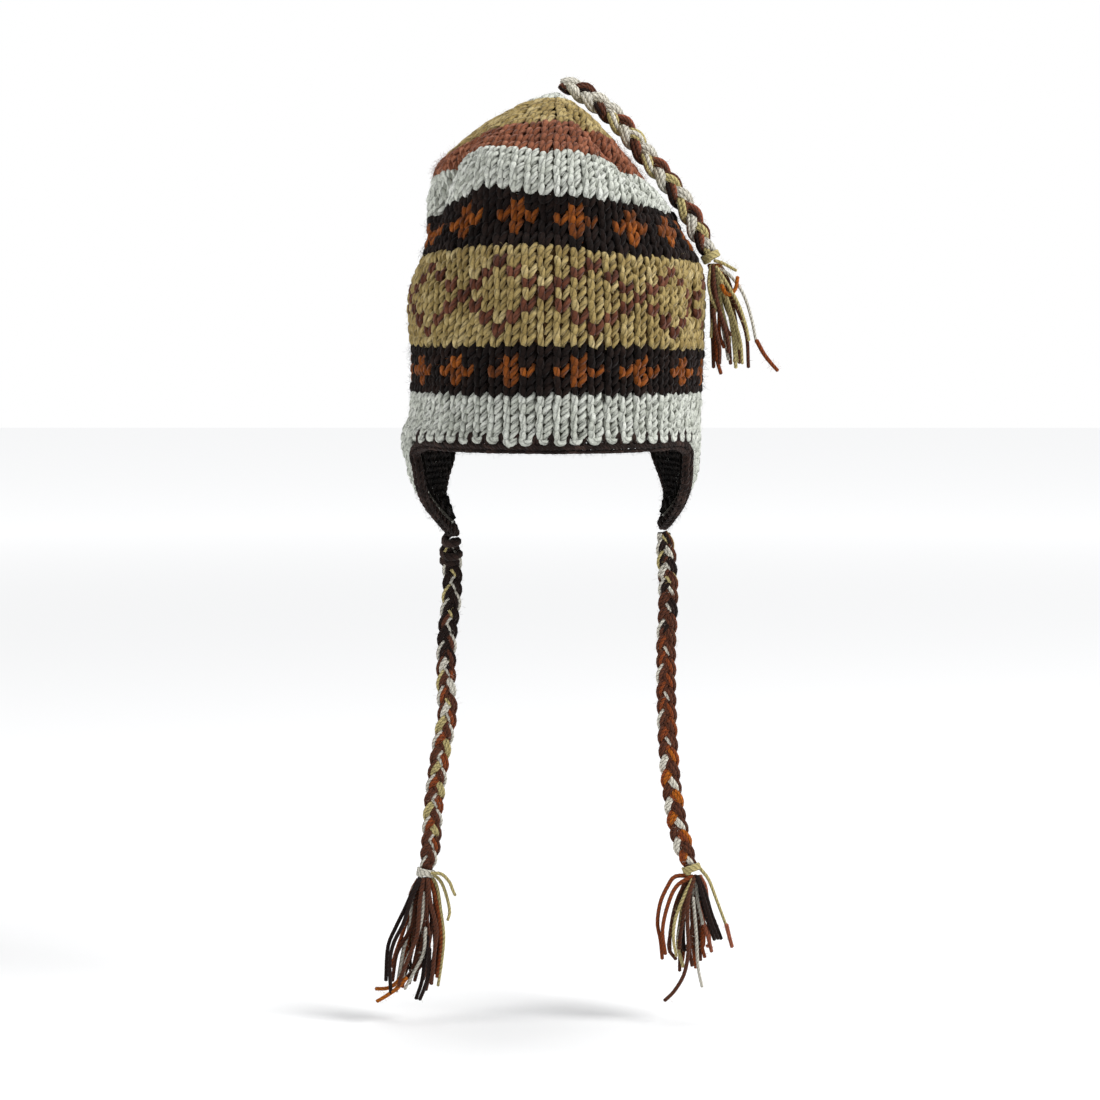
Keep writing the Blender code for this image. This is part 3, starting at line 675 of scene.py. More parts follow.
def felt(name, stops):
    """Matted wool. stops are knitted rows and the hex colour that starts there. A fine bump gives it a nap."""
    material = bpy.data.materials.new(name)
    material.use_nodes = True
    tree = material.node_tree
    shader = tree.nodes["Principled BSDF"]
    shader.inputs["Roughness"].default_value = 1.0
    shader.inputs["Specular IOR Level"].default_value = 0.05
    level = node(tree, "ShaderNodeAttribute", {"attribute_name": "row"})
    share = node(tree, "ShaderNodeMath", {"operation": "DIVIDE", 1: float(CROWN_ROWS)}, {0: level.outputs["Fac"]})
    ramp = node(tree, "ShaderNodeValToRGB", links={0: share.outputs[0]})
    ramp.color_ramp.interpolation = "CONSTANT"
    ramp.color_ramp.elements[1].position = 1.0
    for row, colour in stops:
        element = ramp.color_ramp.elements.new(row / CROWN_ROWS) if row else ramp.color_ramp.elements[0]
        element.color = linear(colour)
    ramp.color_ramp.elements[-1].color = linear(stops[-1][1])
    where = node(tree, "ShaderNodeTexCoord")
    nap = node(tree, "ShaderNodeTexNoise", {"Scale": 700.0, "Detail": 3.0}, {"Vector": where.outputs["Object"]})
    mottle = node(tree, "ShaderNodeMapRange", {"From Min": 0.3, "From Max": 0.7, "To Min": 0.5, "To Max": 1.2}, {
        0: nap.outputs[0]
    })
    tinted = node(tree, "ShaderNodeVectorMath", {"operation": "SCALE"}, {0: ramp.outputs[0], "Scale": mottle.outputs[0]})
    tree.links.new(tinted.outputs[0], shader.inputs["Base Color"])
    bump = node(tree, "ShaderNodeBump", {"Distance": 0.6 * MM, "Strength": 1.0}, {"Height": nap.outputs[0]})
    tree.links.new(bump.outputs[0], shader.inputs["Normal"])
    return material


# Each band's felt is painted far darker than its yarn: painted shade for the gaps between stitches.
SHADED_BAND_FELT = felt("banded_felt_painted_shade", (
    (0, "5E5C55"), (5, "120B09"), (10, "4A3520"), (19, "120B09"), (24, "686860"), (29, "4E2C1E"), (33, "5C4A2C"),
    (39, "7A7A72"),
))
backing_rows = np.linspace(0.1, 40.6, 62)[:, None]
backing_shares = (np.arange(180) / 180)[None, :]
outer, inner = (crown.read(backing_shares, backing_rows, depth * MM)[0] for depth in BACKING_DEPTHS)
wall("crown_backing", outer, inner, True, SHADED_BAND_FELT, "crown_knit", row=np.broadcast_to(backing_rows, outer.shape[:2]))

# Ear flaps
# Two shaped flaps, knitted in white downwards from the brim and curved like its sides, with a dark lining on
# their inner faces, knitted with its purl bumps showing and flecked with stray pale fibres.

FLAP_WALL = 6.0
LINING_GAP = 0.6
LINING_WALL = 2.0
FLAP_PLAN_DEPTH = 104.0
FLAP_LENGTH = {"left": 1.0, "right": 0.93}
SIDE_SIGN = {"left": -1.0, "right": 1.0}
FLAP_ROWS = 11
FLAP_STITCH_MM = 9.6
# Columns: height, sideways reach of the left and the right flap's outer face, y of the front and the back edge
FLAP_SECTIONS = (
    (6.7, 92.4, 88.0, -38.5, 73.0),
    (-2.0, 92.6, 88.0, -38.0, 72.0),
    (-11.0, 90.3, 87.3, -36.0, 67.0),
    (-21.0, 87.8, 86.0, -31.5, 59.0),
    (-31.0, 83.0, 82.5, -24.0, 47.0),
    (-39.0, 77.0, 78.5, -15.0, 34.5),
    (-46.0, 71.0, 74.0, -5.0, 22.0),
    (-51.0, 67.0, 70.5, 4.0, 13.0),
)


def flap_surface(side, across, down):
    """Points of a flap's outer face: across runs from its front edge, 0, to its back edge, 1, and down from the
    crown, 0, to the tip, 1. In plan it follows an ellipse: x = reach times the root of 1 - (y / depth) squared.
    """
    across, down = np.broadcast_arrays(np.asarray(across, float), np.asarray(down, float))
    sections = np.array(FLAP_SECTIONS)
    top, tip = sections[0, 0], sections[-1, 0]
    height = top + (tip - top) * down
    left, right, y_front, y_back = np.moveaxis(smooth_table(FLAP_SECTIONS, height), -1, 0)
    y = y_front + (y_back - y_front) * across
    x = SIDE_SIGN[side] * (left if side == "left" else right) * np.sqrt(1 - (y / FLAP_PLAN_DEPTH) ** 2)
    return np.stack([x, y, top + (height - top) * FLAP_LENGTH[side]], axis=-1) * MM


# The two arcs of a purl bump: across in stitch widths, up in rows, depth and radius in millimetres
PURL = np.array([
    (-0.60, -0.30, 1.2, 0.75),
    (-0.42, 0.15, 0.3, 0.95),
    (0.0, 0.42, 0.0, 1.10),
    (0.42, 0.15, 0.3, 0.95),
    (0.60, -0.30, 1.2, 0.75),
])
LINING_FELT = felt("dark_lining_felt", ((0, "0D0B09"),))
LINING_WOOL = wool("dark_lining_wool", ("0E0B09", "171210", "241D19"), turn_mm=9.0, sheen=0.03)
for side in SIDE_SIGN:
    levels = np.linspace(0, 1, 34)
    flap = Cloth(
        flap_surface(side, np.linspace(0, 1, 60)[None, :], 1 - levels[:, None]), levels * FLAP_ROWS, False, np.zeros(3)
    )
    if (flap.normals[..., 0] * SIDE_SIGN[side]).mean() < 0:
        flap.normals = -flap.normals
    flap_rows, flap_shares, flap_widths = [], [], []
    for row in range(FLAP_ROWS):
        edge = flap_surface(side, np.array([0.0, 1.0]), 1 - (row + 0.5) / FLAP_ROWS)
        count = max(1, round(np.linalg.norm(edge[1] - edge[0]) / MM / FLAP_STITCH_MM))
        flap_rows.append(np.full(count, row))
        flap_shares.append((np.arange(count) + 0.5) / count)
        flap_widths.append(np.full(count, 1 / count))
    flap_rows, flap_shares, flap_widths = map(np.concatenate, (flap_rows, flap_shares, flap_widths))
    stitch = laid_stitches(flap, flap_shares, flap_rows, flap_widths * 0.98, dice)
    flap_tones = 0.09 * dice.standard_normal(len(flap_rows))
    piece = yarn_tubes(
        f"flap_{side}_stitches", *stitch, YARN_SIDES, WOOLS["white"], "flap_knit", tones=flap_tones
    )
    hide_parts(f"ear_flap_{side}")
    inside_share = np.linspace(0.0, 1.0, 40)[None, :]
    inside_row = np.linspace(0.02, FLAP_ROWS, 26)[:, None]
    outer, inner = (flap.read(inside_share, inside_row, depth * MM)[0] for depth in (-2.3, -FLAP_WALL))
    # The flap's backing takes the white band's felt, painted dark grey as shade between the flap's stitches.
    wall(f"flap_{side}_backing", outer, inner, False, SHADED_BAND_FELT, "flap_knit", row=np.zeros(outer.shape[:2]))
    depths = (-FLAP_WALL - LINING_GAP, -FLAP_WALL - LINING_GAP - 0.5 * LINING_WALL)
    outer, inner = (flap.read(inside_share, inside_row, depth * MM)[0] for depth in depths)
    piece = wall(f"flap_{side}_lining", outer, inner, False, LINING_FELT, "flap_lining", row=np.zeros(outer.shape[:2]))
    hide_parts(f"flap_lining_{side}")
    # Purl bumps, on the lining's inner face: rows 4.4 mm apart, bumps 5 mm wide
    bump_row, bump_share = np.meshgrid(np.arange(0.9, FLAP_ROWS - 0.4, 0.8), np.arange(22) / 22 + 0.025, indexing="ij")
    bump_share = (bump_share + 0.5 / 22 * (np.arange(len(bump_row)) % 2)[:, None]).ravel()
    bump_row = bump_row.ravel()
    kept = (bump_share > 0.04) & (bump_share < 0.96)
    bump_row, bump_share = bump_row[kept], bump_share[kept]
    shape = PURL.copy()
    shape[:, 2] -= FLAP_WALL + LINING_GAP + LINING_WALL - 0.6
    bumps, normals, radii = laid_loops(flap, shape, bump_share, bump_row, np.full(len(bump_row), 1 / 20), 8, dice)
    radii *= 1.15
    bump_tones = 0.15 * dice.standard_normal(len(bump_row))
    yarn_tubes(f"flap_{side}_purl_bumps", bumps, -normals, radii, 6, LINING_WOOL, "flap_lining", tones=bump_tones)
    fuzz(
        f"flap_{side}_lining_fibres", bumps, -normals, radii, 900, 3.2, 0.8, LINING_WOOL, "flap_lining", dice,
        tones=bump_tones,
    )
    fuzz(
        f"flap_{side}_pale_flecks", bumps, -normals, radii, 40, 3.0, 0.6, WOOLS["white"], "flap_lining", dice,
        tones=bump_tones,
    )

# Crocheted edging
# One round of dark brown crochet along the brim and round both flaps: a core wound with slanting stitches, a
# chain along its edge, and at the brim a peak of yarn that runs up between each two white knuckles.

EDGING_DIAMETER = 6.8
EDGING_PITCH = 4.8
BRIM_HEIGHT = 7.0
GAP = 0.3
BRIM_FRONT = (-58.0, 58.0)
BRIM_BACK = (145.0, 215.0)


def even_route(points, step, cyclic=False):
    """Points about one step apart along a smooth curve through the given points."""
    points = np.asarray(points, float)
    if cyclic:
        dense = curve_through(np.concatenate([points[-2:], points, points[:3]]), 24 * (len(points) + 4) + 1)
        dense = dense[48 : 48 + 24 * len(points) + 1]
    else:
        dense = curve_through(points, 24 * (len(points) - 1) + 1)
    along = np.concatenate([[0], np.cumsum(np.linalg.norm(np.diff(dense, axis=0), axis=1))])
    wanted = np.linspace(0, along[-1], max(2, round(along[-1] / step)) + 1)
    return np.stack([np.interp(wanted, along, dense[:, axis]) for axis in range(3)], axis=1)


def flap_edging_route(side):
    """The edging's centre line round one flap, from its front edge down to the tip and up its back edge."""
    sections = np.array(FLAP_SECTIONS)
    z = sections[0, 0] + (sections[:, 0] - sections[0, 0]) * FLAP_LENGTH[side]
    outline = np.concatenate([
        np.stack([sections[:, 3], z, sections[:, 0]], axis=1),
        np.stack([sections[::-1, 4], z[::-1], sections[::-1, 0]], axis=1),
    ])
    along = unit(np.gradient(outline[:, :2], axis=0))
    # The crochet is worked into the cloth, so its core lies nearer than the plain solid does.
    away = 0.3 * EDGING_DIAMETER
    y = outline[:, 0] + along[:, 1] * away
    z = outline[:, 1] - along[:, 0] * away
    reach = smooth_table(FLAP_SECTIONS, outline[:, 2])[:, 0 if side == "left" else 1] - FLAP_WALL / 2
    # Below the flap the wall keeps leaning in, so the tip's points move in by half of how far they drop.
    reach -= 0.5 * np.maximum(0, outline[:, 1] - z)
    x = SIDE_SIGN[side] * reach * np.sqrt(1 - (outline[:, 0] / FLAP_PLAN_DEPTH) ** 2)
    return np.stack([x, y, z], axis=1)[1:-1] * MM


def brim_edging_route(first_turn, last_turn, count):
    """The edging's centre line under a stretch of the brim, between two angles from the front."""
    rim = crown_surface(np.linspace(first_turn, last_turn, count), 0.0)
    rim[:, :2] *= 1 - (FLAP_WALL / 2 * MM) / np.linalg.norm(rim[:, :2], axis=1, keepdims=True)
    rim[:, 2] = (BRIM_HEIGHT - 2 * GAP - EDGING_DIAMETER / 2) * MM
    return rim


route = even_route(np.concatenate([
    brim_edging_route(*BRIM_FRONT, 13),
    flap_edging_route("right"),
    brim_edging_route(*BRIM_BACK, 7),
    flap_edging_route("left")[::-1],
]), EDGING_PITCH * MM, cyclic=True)


def loops_along(route, shape, rings):
    """A loop at each step of a closed route. The shape's columns are steps along, millimetres outwards from the
    hat, millimetres away from the cloth, and the radius.
    """
    shape = curve_through(shape, rings)
    steps = np.arange(len(route) - 1)[:, None] + shape[:, 0]
    centres = np.stack([np.interp(steps % (len(route) - 1), np.arange(len(route)), route[:, i]) for i in range(3)], -1)
    ring = route[:-1]
    along = unit(np.roll(ring, -1, axis=0) - np.roll(ring, 1, axis=0))
    face = np.stack([ring[:, 0] / 0.088**2, ring[:, 1] / 0.104**2, 0 * ring[:, 0]], axis=1)
    outwards = unit(face - (face * along).sum(axis=1, keepdims=True) * along)
    away = np.cross(along, outwards)
    centres = centres + (outwards[:, None] * shape[:, 1, None] + away[:, None] * shape[:, 2, None]) * MM
    turned = outwards[:, None] * shape[:, 1, None] + away[:, None] * (shape[:, 2, None] + 0.01)
    radii = np.tile(shape[:, 3] * MM, (len(centres), 1)) * (1 + 0.1 * dice.standard_normal((len(centres), 1)))
    return centres, unit(turned), radii


EDGE_WOOL = wool("dark_crochet_wool", ("1C1310", "2B1F1B", "43322C"), turn_mm=10.0, sheen=0.05)
turns = np.linspace(-60, 300, 13)
winding = np.stack([
    np.linspace(-0.25, 1.0, 13),
    2.1 * np.sin(np.radians(turns)),
    -2.1 * np.cos(np.radians(turns)),
    np.full(13, 1.45),
], axis=1)
chain = np.array([
    (-0.2, 0.3, 3.0, 1.0),
    (0.3, 1.5, 3.1, 1.2),
    (0.9, 1.4, 3.0, 1.2),
    (1.3, 0.2, 2.6, 1.0),
    (0.9, -1.2, 2.9, 1.1),
    (0.3, -1.2, 3.0, 1.1),
    (-0.2, -0.1, 2.8, 1.0),
])
outer_chain = np.array([(-0.3, 2.6, -1.2, 0.9), (0.2, 3.0, 0.0, 1.2), (0.8, 2.9, 0.4, 1.3), (1.2, 2.4, 1.4, 1.0)])
for label, shape, rings, hairs in (("winding", winding, 11, 1600), ("chain", chain, 12, 900), ("ridge", outer_chain, 7, 900)):
    loops = loops_along(route, shape, rings)
    edge_tones = 0.12 * dice.standard_normal(len(loops[2]))
    piece = yarn_tubes(f"edging_{label}", *loops, 6, EDGE_WOOL, "edging_yarn", tones=edge_tones)
    if label == "winding":
        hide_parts("edging")
    fuzz(f"edging_{label}_fibres", *loops, hairs, 3.4, 0.9, EDGE_WOOL, "edging_yarn", dice, tones=edge_tones)
PEAK = np.array([
    (-0.24, -1.35, -1.6, 1.5),
    (-0.13, -0.55, -0.9, 1.55),
    (0.0, 0.15, -1.3, 1.35),
    (0.13, -0.55, -0.9, 1.55),
    (0.24, -1.35, -1.6, 1.5),
])
peaks = laid_loops(crown, PEAK, brim_shares[bare] + 0.5 / CROWN_STITCHES, edge_rows, edge_widths, 10, dice)
peak_tones = 0.1 * dice.standard_normal(len(edge_rows))
yarn_tubes("edging_peaks", *peaks, 7, EDGE_WOOL, "edging_yarn", tones=peak_tones)
fuzz("edging_peak_fibres", *peaks, 900, 3.4, 0.9, EDGE_WOOL, "edging_yarn", dice, tones=peak_tones)

# Plaited cords
# Three cords of mixed wool ends, each plaited from three strands of six yarns: one hangs from each flap's tip
# and one from the crown's tip lies down the right side.

BRAID_DIAMETER = 12.5
CROWN_BRAID_DIAMETER = 13.4
BRAID_ROUTES = {
    "braid_left": (
        (-63.6, 8.0, -59.4), (-62.8, 4.0, -89.0), (-66.0, 0.0, -120.0), (-66.4, -4.0, -150.0), (-65.6, -6.0, -165.0),
        (-69.5, -9.0, -187.0), (-73.6, -13.0, -217.0), (-75.6, -16.0, -244.0), (-78.2, -17.0, -258.8),
    ),
    "braid_right": (
        (66.8, 7.5, -55.2), (68.4, 5.0, -72.0), (69.3, 2.0, -95.0), (68.0, -1.5, -125.0), (68.2, -5.0, -160.0),
        (69.6, -9.0, -192.0), (72.4, -12.0, -218.0), (77.0, -15.0, -241.0), (82.6, -17.0, -256.4),
    ),
    "crown_braid": (
        (4.0, -2.0, 217.4), (15.3, -3.0, 212.7), (25.6, -4.0, 205.3), (36.0, -5.0, 196.8), (45.4, -6.0, 185.9),
        (54.5, -6.0, 174.1), (64.4, -6.0, 162.9), (73.5, -6.0, 151.2), (81.5, -6.0, 139.0), (87.5, -6.0, 126.0),
        (93.0, -6.0, 115.2),
    ),
}
# The colour of each letter, and which yarns each strand holds from a share of the cord's length onwards
DYES = {
    "d": "251814", "b": "5A3424", "r": "84411F", "o": "B0601A", "w": "D2CDBF", "k": "BDAE78", "s": "9A5A42", "g": "B9B2A0",
}
BRAID_YARNS = {
    "braid_left": (
        (0.00, "dddwdd", "dddkdd", "dddddw"), (0.22, "rdbwdd", "ddbddd", "bbddbw"), (0.36, "rrbwrb", "bbbkbb", "bdbbww"),
        (0.58, "rrrwrr", "bbbbkk", "bbrbbw"), (0.76, "rbbwrr", "ddbkkb", "brrbbw"), (0.92, "bbdwbb", "bbbbbb", "bbdbbw"),
    ),
    "braid_right": (
        (0.00, "kkkkdb", "dddwdd", "bddwwb"), (0.16, "rbrbbb", "ddwwdd", "kkbbbb"), (0.32, "rrrbrb", "bbwwbb", "kkkbrb"),
        (0.55, "brbbrr", "bddwbb", "kwbbbr"), (0.68, "oorroo", "bbrwwb", "bkkbbb"), (0.90, "oorrro", "dbbwwb", "bkbbbb"),
    ),
    "crown_braid": (
        (0.00, "wwwwww", "wwkgww", "bsbdbb"), (0.25, "wwwgww", "kkgkwk", "bbdbbs"), (0.60, "wwgwww", "kkgkkb", "bbbdbs"),
    ),
}


def dyed(letters):
    """The linear colours of a string of letters."""
    return np.array([linear(DYES[letter]) for letter in letters])


def plait(route, diameter, step, face):
    """The centre lines of 18 yarns: three strands that swing from side to side by a sine and through each other's
    depth by a sine of twice the turn, a third of a turn apart, and six yarns in an oval round each strand.
    """
    along = unit(np.gradient(route, axis=0))
    front = unit(face - (along @ face)[:, None] * along)
    side = np.cross(front, along)
    length = np.concatenate([[0], np.cumsum(np.linalg.norm(np.diff(route, axis=0), axis=1))])
    ends = np.minimum(1, 0.62 + 0.38 * np.minimum(length, length[-1] - length) / (0.9 * diameter))[:, None]
    strands, spread = [], []
    for strand in range(3):
        phase = (2 * math.pi * (length / step + strand / 3) + 0.5 * np.sin(length / 0.031))[:, None]
        line = route + ends * diameter * (0.265 * np.sin(phase) * side + 0.165 * np.sin(2 * phase) * front)
        tangent = unit(np.gradient(line, axis=0))
        across = unit(np.cross(front, tangent))
        through = np.cross(tangent, across)
        for yarn in range(6):
            angle = -math.radians(60 * yarn + 30)
            strands.append(line + ends * diameter * (0.165 * math.cos(angle) * across + 0.095 * math.sin(angle) * through))
            spread.append(front)
    return np.array(strands), np.array(spread)


def yarn_colours(zones, shares, dice):
    """The colour of every yarn at every share of the cord, with each change of yarn at its own place."""
    starts = np.array([zone[0] for zone in zones])
    tables = np.array([dyed("".join(zone[1:])) for zone in zones])
    shift = 0.03 * dice.standard_normal((18, 1))
    zone = np.clip(np.searchsorted(starts, shares[None, :] + shift, side="right") - 1, 0, len(starts) - 1)
    colours = tables[zone, np.arange(18)[:, None]]
    return colours * np.array([1, 1, 1, 0])[None, None] * (1 + 0.1 * dice.standard_normal((18, 1, 1))) + [0, 0, 0, 1]


MIXED_WOOL = wool("mixed_dyed_wool", turn_mm=8.0, ply_depth=0.22, sheen=0.06)
cords = {}
for name, diameter, step, face, slot in (
    ("braid_left", BRAID_DIAMETER, 0.026, (0.1, -1.0, 0.0), "braid_yarn"),
    ("braid_right", BRAID_DIAMETER, 0.026, (-0.1, -1.0, 0.0), "braid_yarn"),
    ("crown_braid", CROWN_BRAID_DIAMETER, 0.032, (0.25, -1.0, 0.3), "crown_braid_yarn"),
):
    line = even_route(np.array(BRAID_ROUTES[name]) * MM, 0.0018)
    yarns, normals = plait(line, diameter * MM, step, np.array(face))
    dyes = yarn_colours(BRAID_YARNS[name], np.linspace(0, 1, len(line)), dice)
    radii = np.full(yarns.shape[:2], 0.098 * diameter * MM) * (1 + 0.07 * dice.standard_normal((18, 1)))
    piece = yarn_tubes(f"{name}_yarns", yarns, normals, radii, 6, MIXED_WOOL, slot, dyes=dyes)
    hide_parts(name)
    hair = fuzz(f"{name}_fibres", yarns, normals, radii, 2200, 3.0, 0.6, MIXED_WOOL, slot, dice, dyes=dyes)
    cords[name] = (piece, line, diameter, [hair])

# Knot at the left flap's tip
# Dark yarn wound round the top of the left cord, where its ends are drawn through the flap.

top = np.array([-0.0637, 0.0076, -0.0625])
turns = np.linspace(0, 3.3 * 2 * math.pi, 84)
swell = 0.0030 + 0.0022 * np.sin(np.linspace(0.1, 3.0, 84)) + 0.0004 * np.sin(1.7 * turns)
drop = np.linspace(0.006, -0.013, 84) + 0.0022 * np.sin(turns + 0.6) + 0.0012 * np.sin(0.4 * turns)
knot_line = top + np.stack([swell * np.cos(turns), swell * np.sin(turns), drop], axis=1)
out = unit(knot_line - top * [1, 1, 0] - knot_line * [0, 0, 1])
knot = yarn_tubes(
    "braid_left_knot", knot_line[None], out[None], np.full((1, 84), 0.0025), 7, EDGE_WOOL, "edging_yarn",
    tones=np.zeros(1),
)
cords["braid_left"][3].append(knot)

# Ties
# Each cord's end is bound with three turns of pale yarn.

TIE_COLOURS = {"braid_left": "w", "braid_right": "k", "crown_braid": "k"}
TIE_NAMES = {"braid_left": "tie_left", "braid_right": "tie_right", "crown_braid": "crown_tie"}
for name, (piece, line, diameter, pieces) in cords.items():
    end, direction = line[-1], unit(line[-1] - line[-2])
    side = unit(np.cross(direction, [0, -1, 0]))
    through = np.cross(side, direction)
    turns = np.linspace(0, 3.2 * 2 * math.pi, 60)
    rise = np.linspace(0.4, 4.2, 60)[:, None] * MM
    spoke = np.cos(turns)[:, None] * side + np.sin(turns)[:, None] * through
    winding = end + direction * rise + spoke * 5.0 * MM
    dyes = np.tile(dyed(TIE_COLOURS[name]), (1, 60, 1))
    tie = yarn_tubes(
        f"{TIE_NAMES[name]}_yarn", winding[None], spoke[None], np.full((1, 60), 1.05 * MM), 7, MIXED_WOOL, "tie_yarn",
        dyes=dyes,
    )
    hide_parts(TIE_NAMES[name])
    pieces.append(tie)

# Tassels
# The yarn ends below each tie hang loose. Most are brown and rust, with white, khaki and orange among them, and
# some stray outwards or curl. The tables give the yarns that show most, as x and z in millimetres.

TASSEL_CORES = {
    "tassel_left": ((-79.6, -18.0, -265.0, 4.4), (-80.6, -18.0, -274.0, 7.5), (-82.0, -18.5, -290.0, 10.5), (-84.0, -19.0, -309.0, 13.0), (-88.0, -19.0, -326.0, 14.0)),
    "tassel_right": ((84.6, -17.5, -263.0, 4.4), (84.0, -18.5, -272.0, 8.5), (82.0, -19.0, -288.0, 13.0), (81.5, -19.0, -305.0, 14.0), (82.5, -19.0, -314.0, 13.0)),
    "crown_tassel": ((95.5, -7.0, 108.5, 4.2), (98.5, -7.5, 99.0, 6.0), (102.0, -8.0, 84.0, 8.5), (106.0, -8.0, 66.0, 9.5), (108.0, -8.0, 53.0, 9.5)),
}
INNER_YARNS = {"tassel_left": "bbbbrbdbbrbbwbkb", "tassel_right": "rrbbbrbdsbbrkb", "crown_tassel": "bbkkrkbkbwkk"}
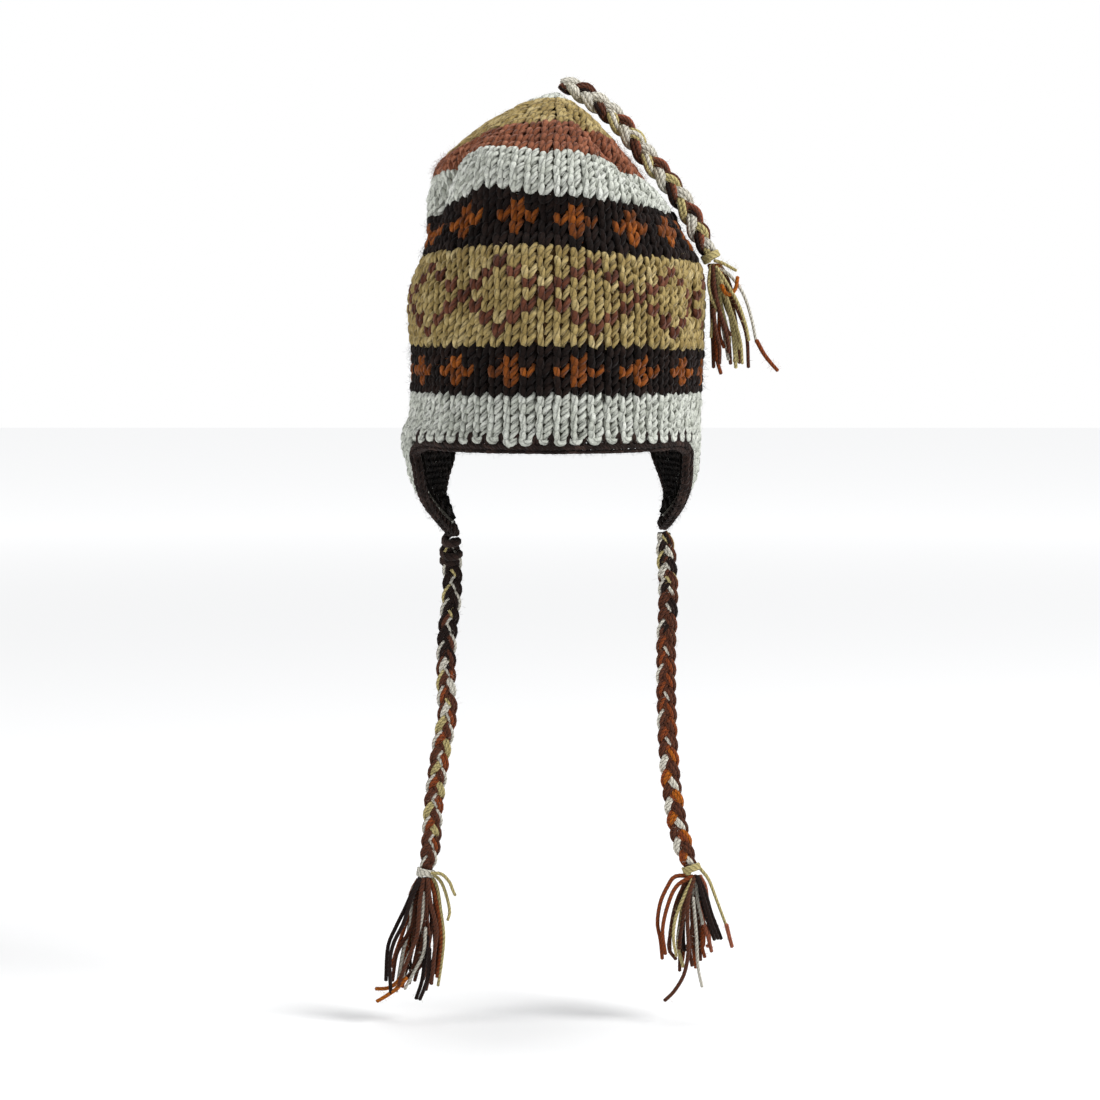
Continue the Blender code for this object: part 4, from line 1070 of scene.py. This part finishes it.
TASSEL_YARNS = {
    "tassel_left": (
        ("d", (-82.2, -263.6), (-85.8, -270.1), (-91.3, -282.2), (-96.7, -293.1), (-101.6, -305.2), (-102.8, -325.7)),
        ("d", (-81.6, -263.6), (-87.0, -274.9), (-91.9, -290.1), (-97.9, -302.1), (-100.3, -314.2), (-99.7, -333.0)),
        ("b", (-81.0, -263.6), (-84.6, -278.0), (-87.0, -293.1), (-92.5, -302.7), (-96.7, -311.2), (-99.1, -326.9)),
        ("b", (-79.8, -263.6), (-82.2, -278.0), (-83.4, -296.1), (-87.7, -308.2), (-92.5, -320.3), (-94.9, -328.1)),
        ("b", (-79.2, -263.6), (-79.8, -278.0), (-79.8, -293.1), (-81.6, -305.2), (-86.4, -318.5), (-91.3, -325.7)),
        ("b", (-78.0, -263.6), (-78.6, -281.0), (-76.8, -299.1), (-77.4, -314.2), (-80.4, -325.7)),
        ("b", (-77.4, -263.6), (-75.6, -278.0), (-71.9, -293.1), (-73.1, -308.2), (-75.0, -326.9)),
        ("r", (-76.2, -263.6), (-73.1, -274.9), (-70.1, -290.1), (-69.5, -305.2), (-71.9, -324.5)),
        ("w", (-79.8, -271.9), (-81.0, -288.2), (-85.2, -302.1), (-90.7, -314.2), (-92.5, -325.7)),
        ("w", (-78.6, -293.1), (-79.8, -308.2), (-85.8, -320.3), (-91.3, -330.6)),
        ("k", (-75.8, -262.4), (-71.9, -268.9), (-69.5, -284.0), (-67.7, -299.1), (-68.9, -314.2), (-71.3, -329.9)),
        ("k", (-75.0, -260.4), (-68.9, -261.0), (-64.1, -265.9), (-62.3, -270.1), (-60.5, -273.7)),
        ("k", (-75.0, -261.0), (-69.5, -265.9), (-65.9, -274.9), (-64.1, -284.0), (-65.3, -289.4)),
        ("d", (-77.4, -299.1), (-79.2, -314.2), (-81.0, -326.3), (-84.6, -337.2)),
        ("d", (-76.2, -305.2), (-76.8, -320.3), (-79.2, -329.3), (-82.2, -336.6)),
        ("o", (-91.3, -320.3), (-95.5, -326.9), (-101.6, -331.2), (-109.4, -331.8)),
        ("o", (-90.1, -323.3), (-95.5, -329.3), (-102.2, -334.2), (-108.2, -337.8)),
    ),
    "tassel_right": (
        ("r", (82.2, -262.4), (73.1, -262.8), (68.3, -268.9), (64.1, -278.0), (62.3, -290.1), (64.1, -300.3), (65.3, -312.4)),
        ("r", (83.4, -262.4), (73.8, -268.3), (68.3, -279.8), (65.3, -294.3), (67.1, -308.8)),
        ("b", (83.6, -263.0), (76.8, -271.9), (72.5, -284.0), (70.1, -299.1), (70.1, -309.4)),
        ("k", (83.6, -264.1), (78.0, -274.9), (73.1, -287.0), (71.9, -299.1), (73.8, -310.0)),
        ("b", (84.8, -263.0), (79.8, -274.9), (77.4, -290.1), (76.2, -299.1), (75.6, -306.4)),
        ("w", (84.4, -270.1), (81.6, -281.0), (77.4, -290.1), (74.4, -300.3)),
        ("b", (84.8, -263.6), (81.0, -274.9), (80.4, -290.1), (81.0, -305.2), (78.6, -320.3), (72.5, -331.2), (66.5, -337.2)),
        ("s", (85.6, -263.6), (85.8, -271.9), (89.5, -287.0), (93.1, -299.1), (95.5, -308.8)),
        ("w", (84.0, -274.9), (85.8, -296.1), (87.0, -316.6), (89.5, -329.3)),
        ("d", (86.6, -262.4), (91.3, -271.9), (94.9, -284.0), (98.5, -293.1), (101.0, -299.7)),
        ("d", (86.4, -263.6), (88.9, -274.9), (93.1, -290.1), (97.3, -301.5)),
        ("d", (86.6, -263.1), (90.7, -276.1), (95.5, -290.7), (99.1, -299.1)),
        ("w", (85.6, -264.8), (87.0, -278.0), (90.1, -291.3)),
        ("k", (88.7, -258.2), (93.6, -264.7), (98.4, -276.8), (103.9, -291.4)),
        ("s", (103.9, -290.2), (105.7, -297.5), (107.5, -304.2)),
    ),
    "crown_tassel": (
        ("b", (94.6, 107.8), (94.8, 95.0), (97.8, 82.8), (102.1, 72.5), (105.7, 65.8)),
        ("b", (95.2, 107.8), (96.0, 93.8), (99.6, 78.6), (103.9, 63.4), (104.5, 55.5)),
        ("o", (97.0, 108.4), (99.0, 105.9), (100.9, 101.1)),
        ("o", (100.2, 96.2), (102.7, 91.4), (105.7, 90.7), (108.8, 94.4), (110.0, 101.1)),
        ("k", (96.4, 107.1), (100.2, 95.0), (106.9, 78.6), (111.8, 62.2), (113.0, 48.8)),
        ("k", (96.6, 107.1), (101.5, 93.8), (106.3, 76.8), (109.4, 62.2), (108.1, 50.0)),
        ("k", (97.0, 107.1), (103.9, 96.2), (110.6, 84.1), (114.8, 71.9), (116.7, 62.8)),
        ("w", (97.8, 106.9), (106.3, 101.1), (113.6, 90.7), (118.5, 76.2), (121.5, 61.6)),
        ("r", (121.3, 63.0), (125.8, 54.9), (130.0, 49.4), (134.3, 44.6)),
        ("k", (93.9, 107.8), (92.5, 96.8), (94.2, 88.3), (96.6, 82.2), (94.6, 73.1), (93.9, 64.6)),
        ("b", (94.3, 93.8), (94.6, 80.4), (95.2, 63.4), (95.8, 46.4)),
        ("b", (95.2, 81.6), (96.6, 69.5), (99.0, 58.5), (99.0, 48.8)),
        ("r", (95.8, 75.6), (97.2, 60.4), (97.8, 51.3), (100.2, 42.7)),
        ("k", (96.0, 110.8), (100.2, 109.6), (105.1, 107.1), (109.4, 104.7)),
    ),
}
TASSEL_RINGS = 20
for cord, tassel in (("braid_left", "tassel_left"), ("braid_right", "tassel_right"), ("crown_braid", "crown_tassel")):
    core = np.array(TASSEL_CORES[tassel])
    lines, letters, thick = [], [], []
    for number, (letter, *places) in enumerate(TASSEL_YARNS[tassel]):
        places = np.array(places)
        middle = np.interp(-places[:, 1], -core[:, 2], core[:, 1])
        spread = np.interp(-places[:, 1], -core[:, 2], core[:, 3]) * (0.55 + 0.35 * math.sin(2.4 * number))
        lines.append(curve_through(np.stack([places[:, 0], middle - spread, places[:, 1]], axis=1), TASSEL_RINGS))
        letters.append(letter)
        thick.append(1.15 if letter in "wk" else 1.45)
    for number, letter in enumerate(INNER_YARNS[tassel]):
        angle = 2.4 * number
        out = np.minimum(1, 0.35 + 0.6 * dice.uniform()) * core[:, 3:4]
        line = core[:, :3] + out * [math.cos(angle), 0.6 * math.sin(angle), 0] + [0, 1.0, 0]
        line[-1, 2] -= 8 * dice.uniform(-1, 1)
        line[1:] += 0.8 * dice.standard_normal((len(line) - 1, 3))
        lines.append(curve_through(line, TASSEL_RINGS))
        letters.append(letter)
        thick.append(1.4)
    lines = np.array(lines) * MM
    dyes = np.repeat(dyed("".join(letters))[:, None], TASSEL_RINGS, axis=1)
    radii = np.array(thick)[:, None] * MM * np.linspace(0.95, 0.8, TASSEL_RINGS)[None, :]
    normals = np.broadcast_to([0.1, -1.0, 0.05], lines.shape)
    slot = "tassel_yarn"
    piece = yarn_tubes(f"{tassel}_yarns", lines, normals, radii, 7, MIXED_WOOL, slot, dyes=dyes)
    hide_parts(tassel)
    hair = fuzz(f"{tassel}_fibres", lines, normals, radii, 1400, 3.2, 0.6, MIXED_WOOL, slot, dice, dyes=dyes)
    cords[cord][3].extend([piece, hair])
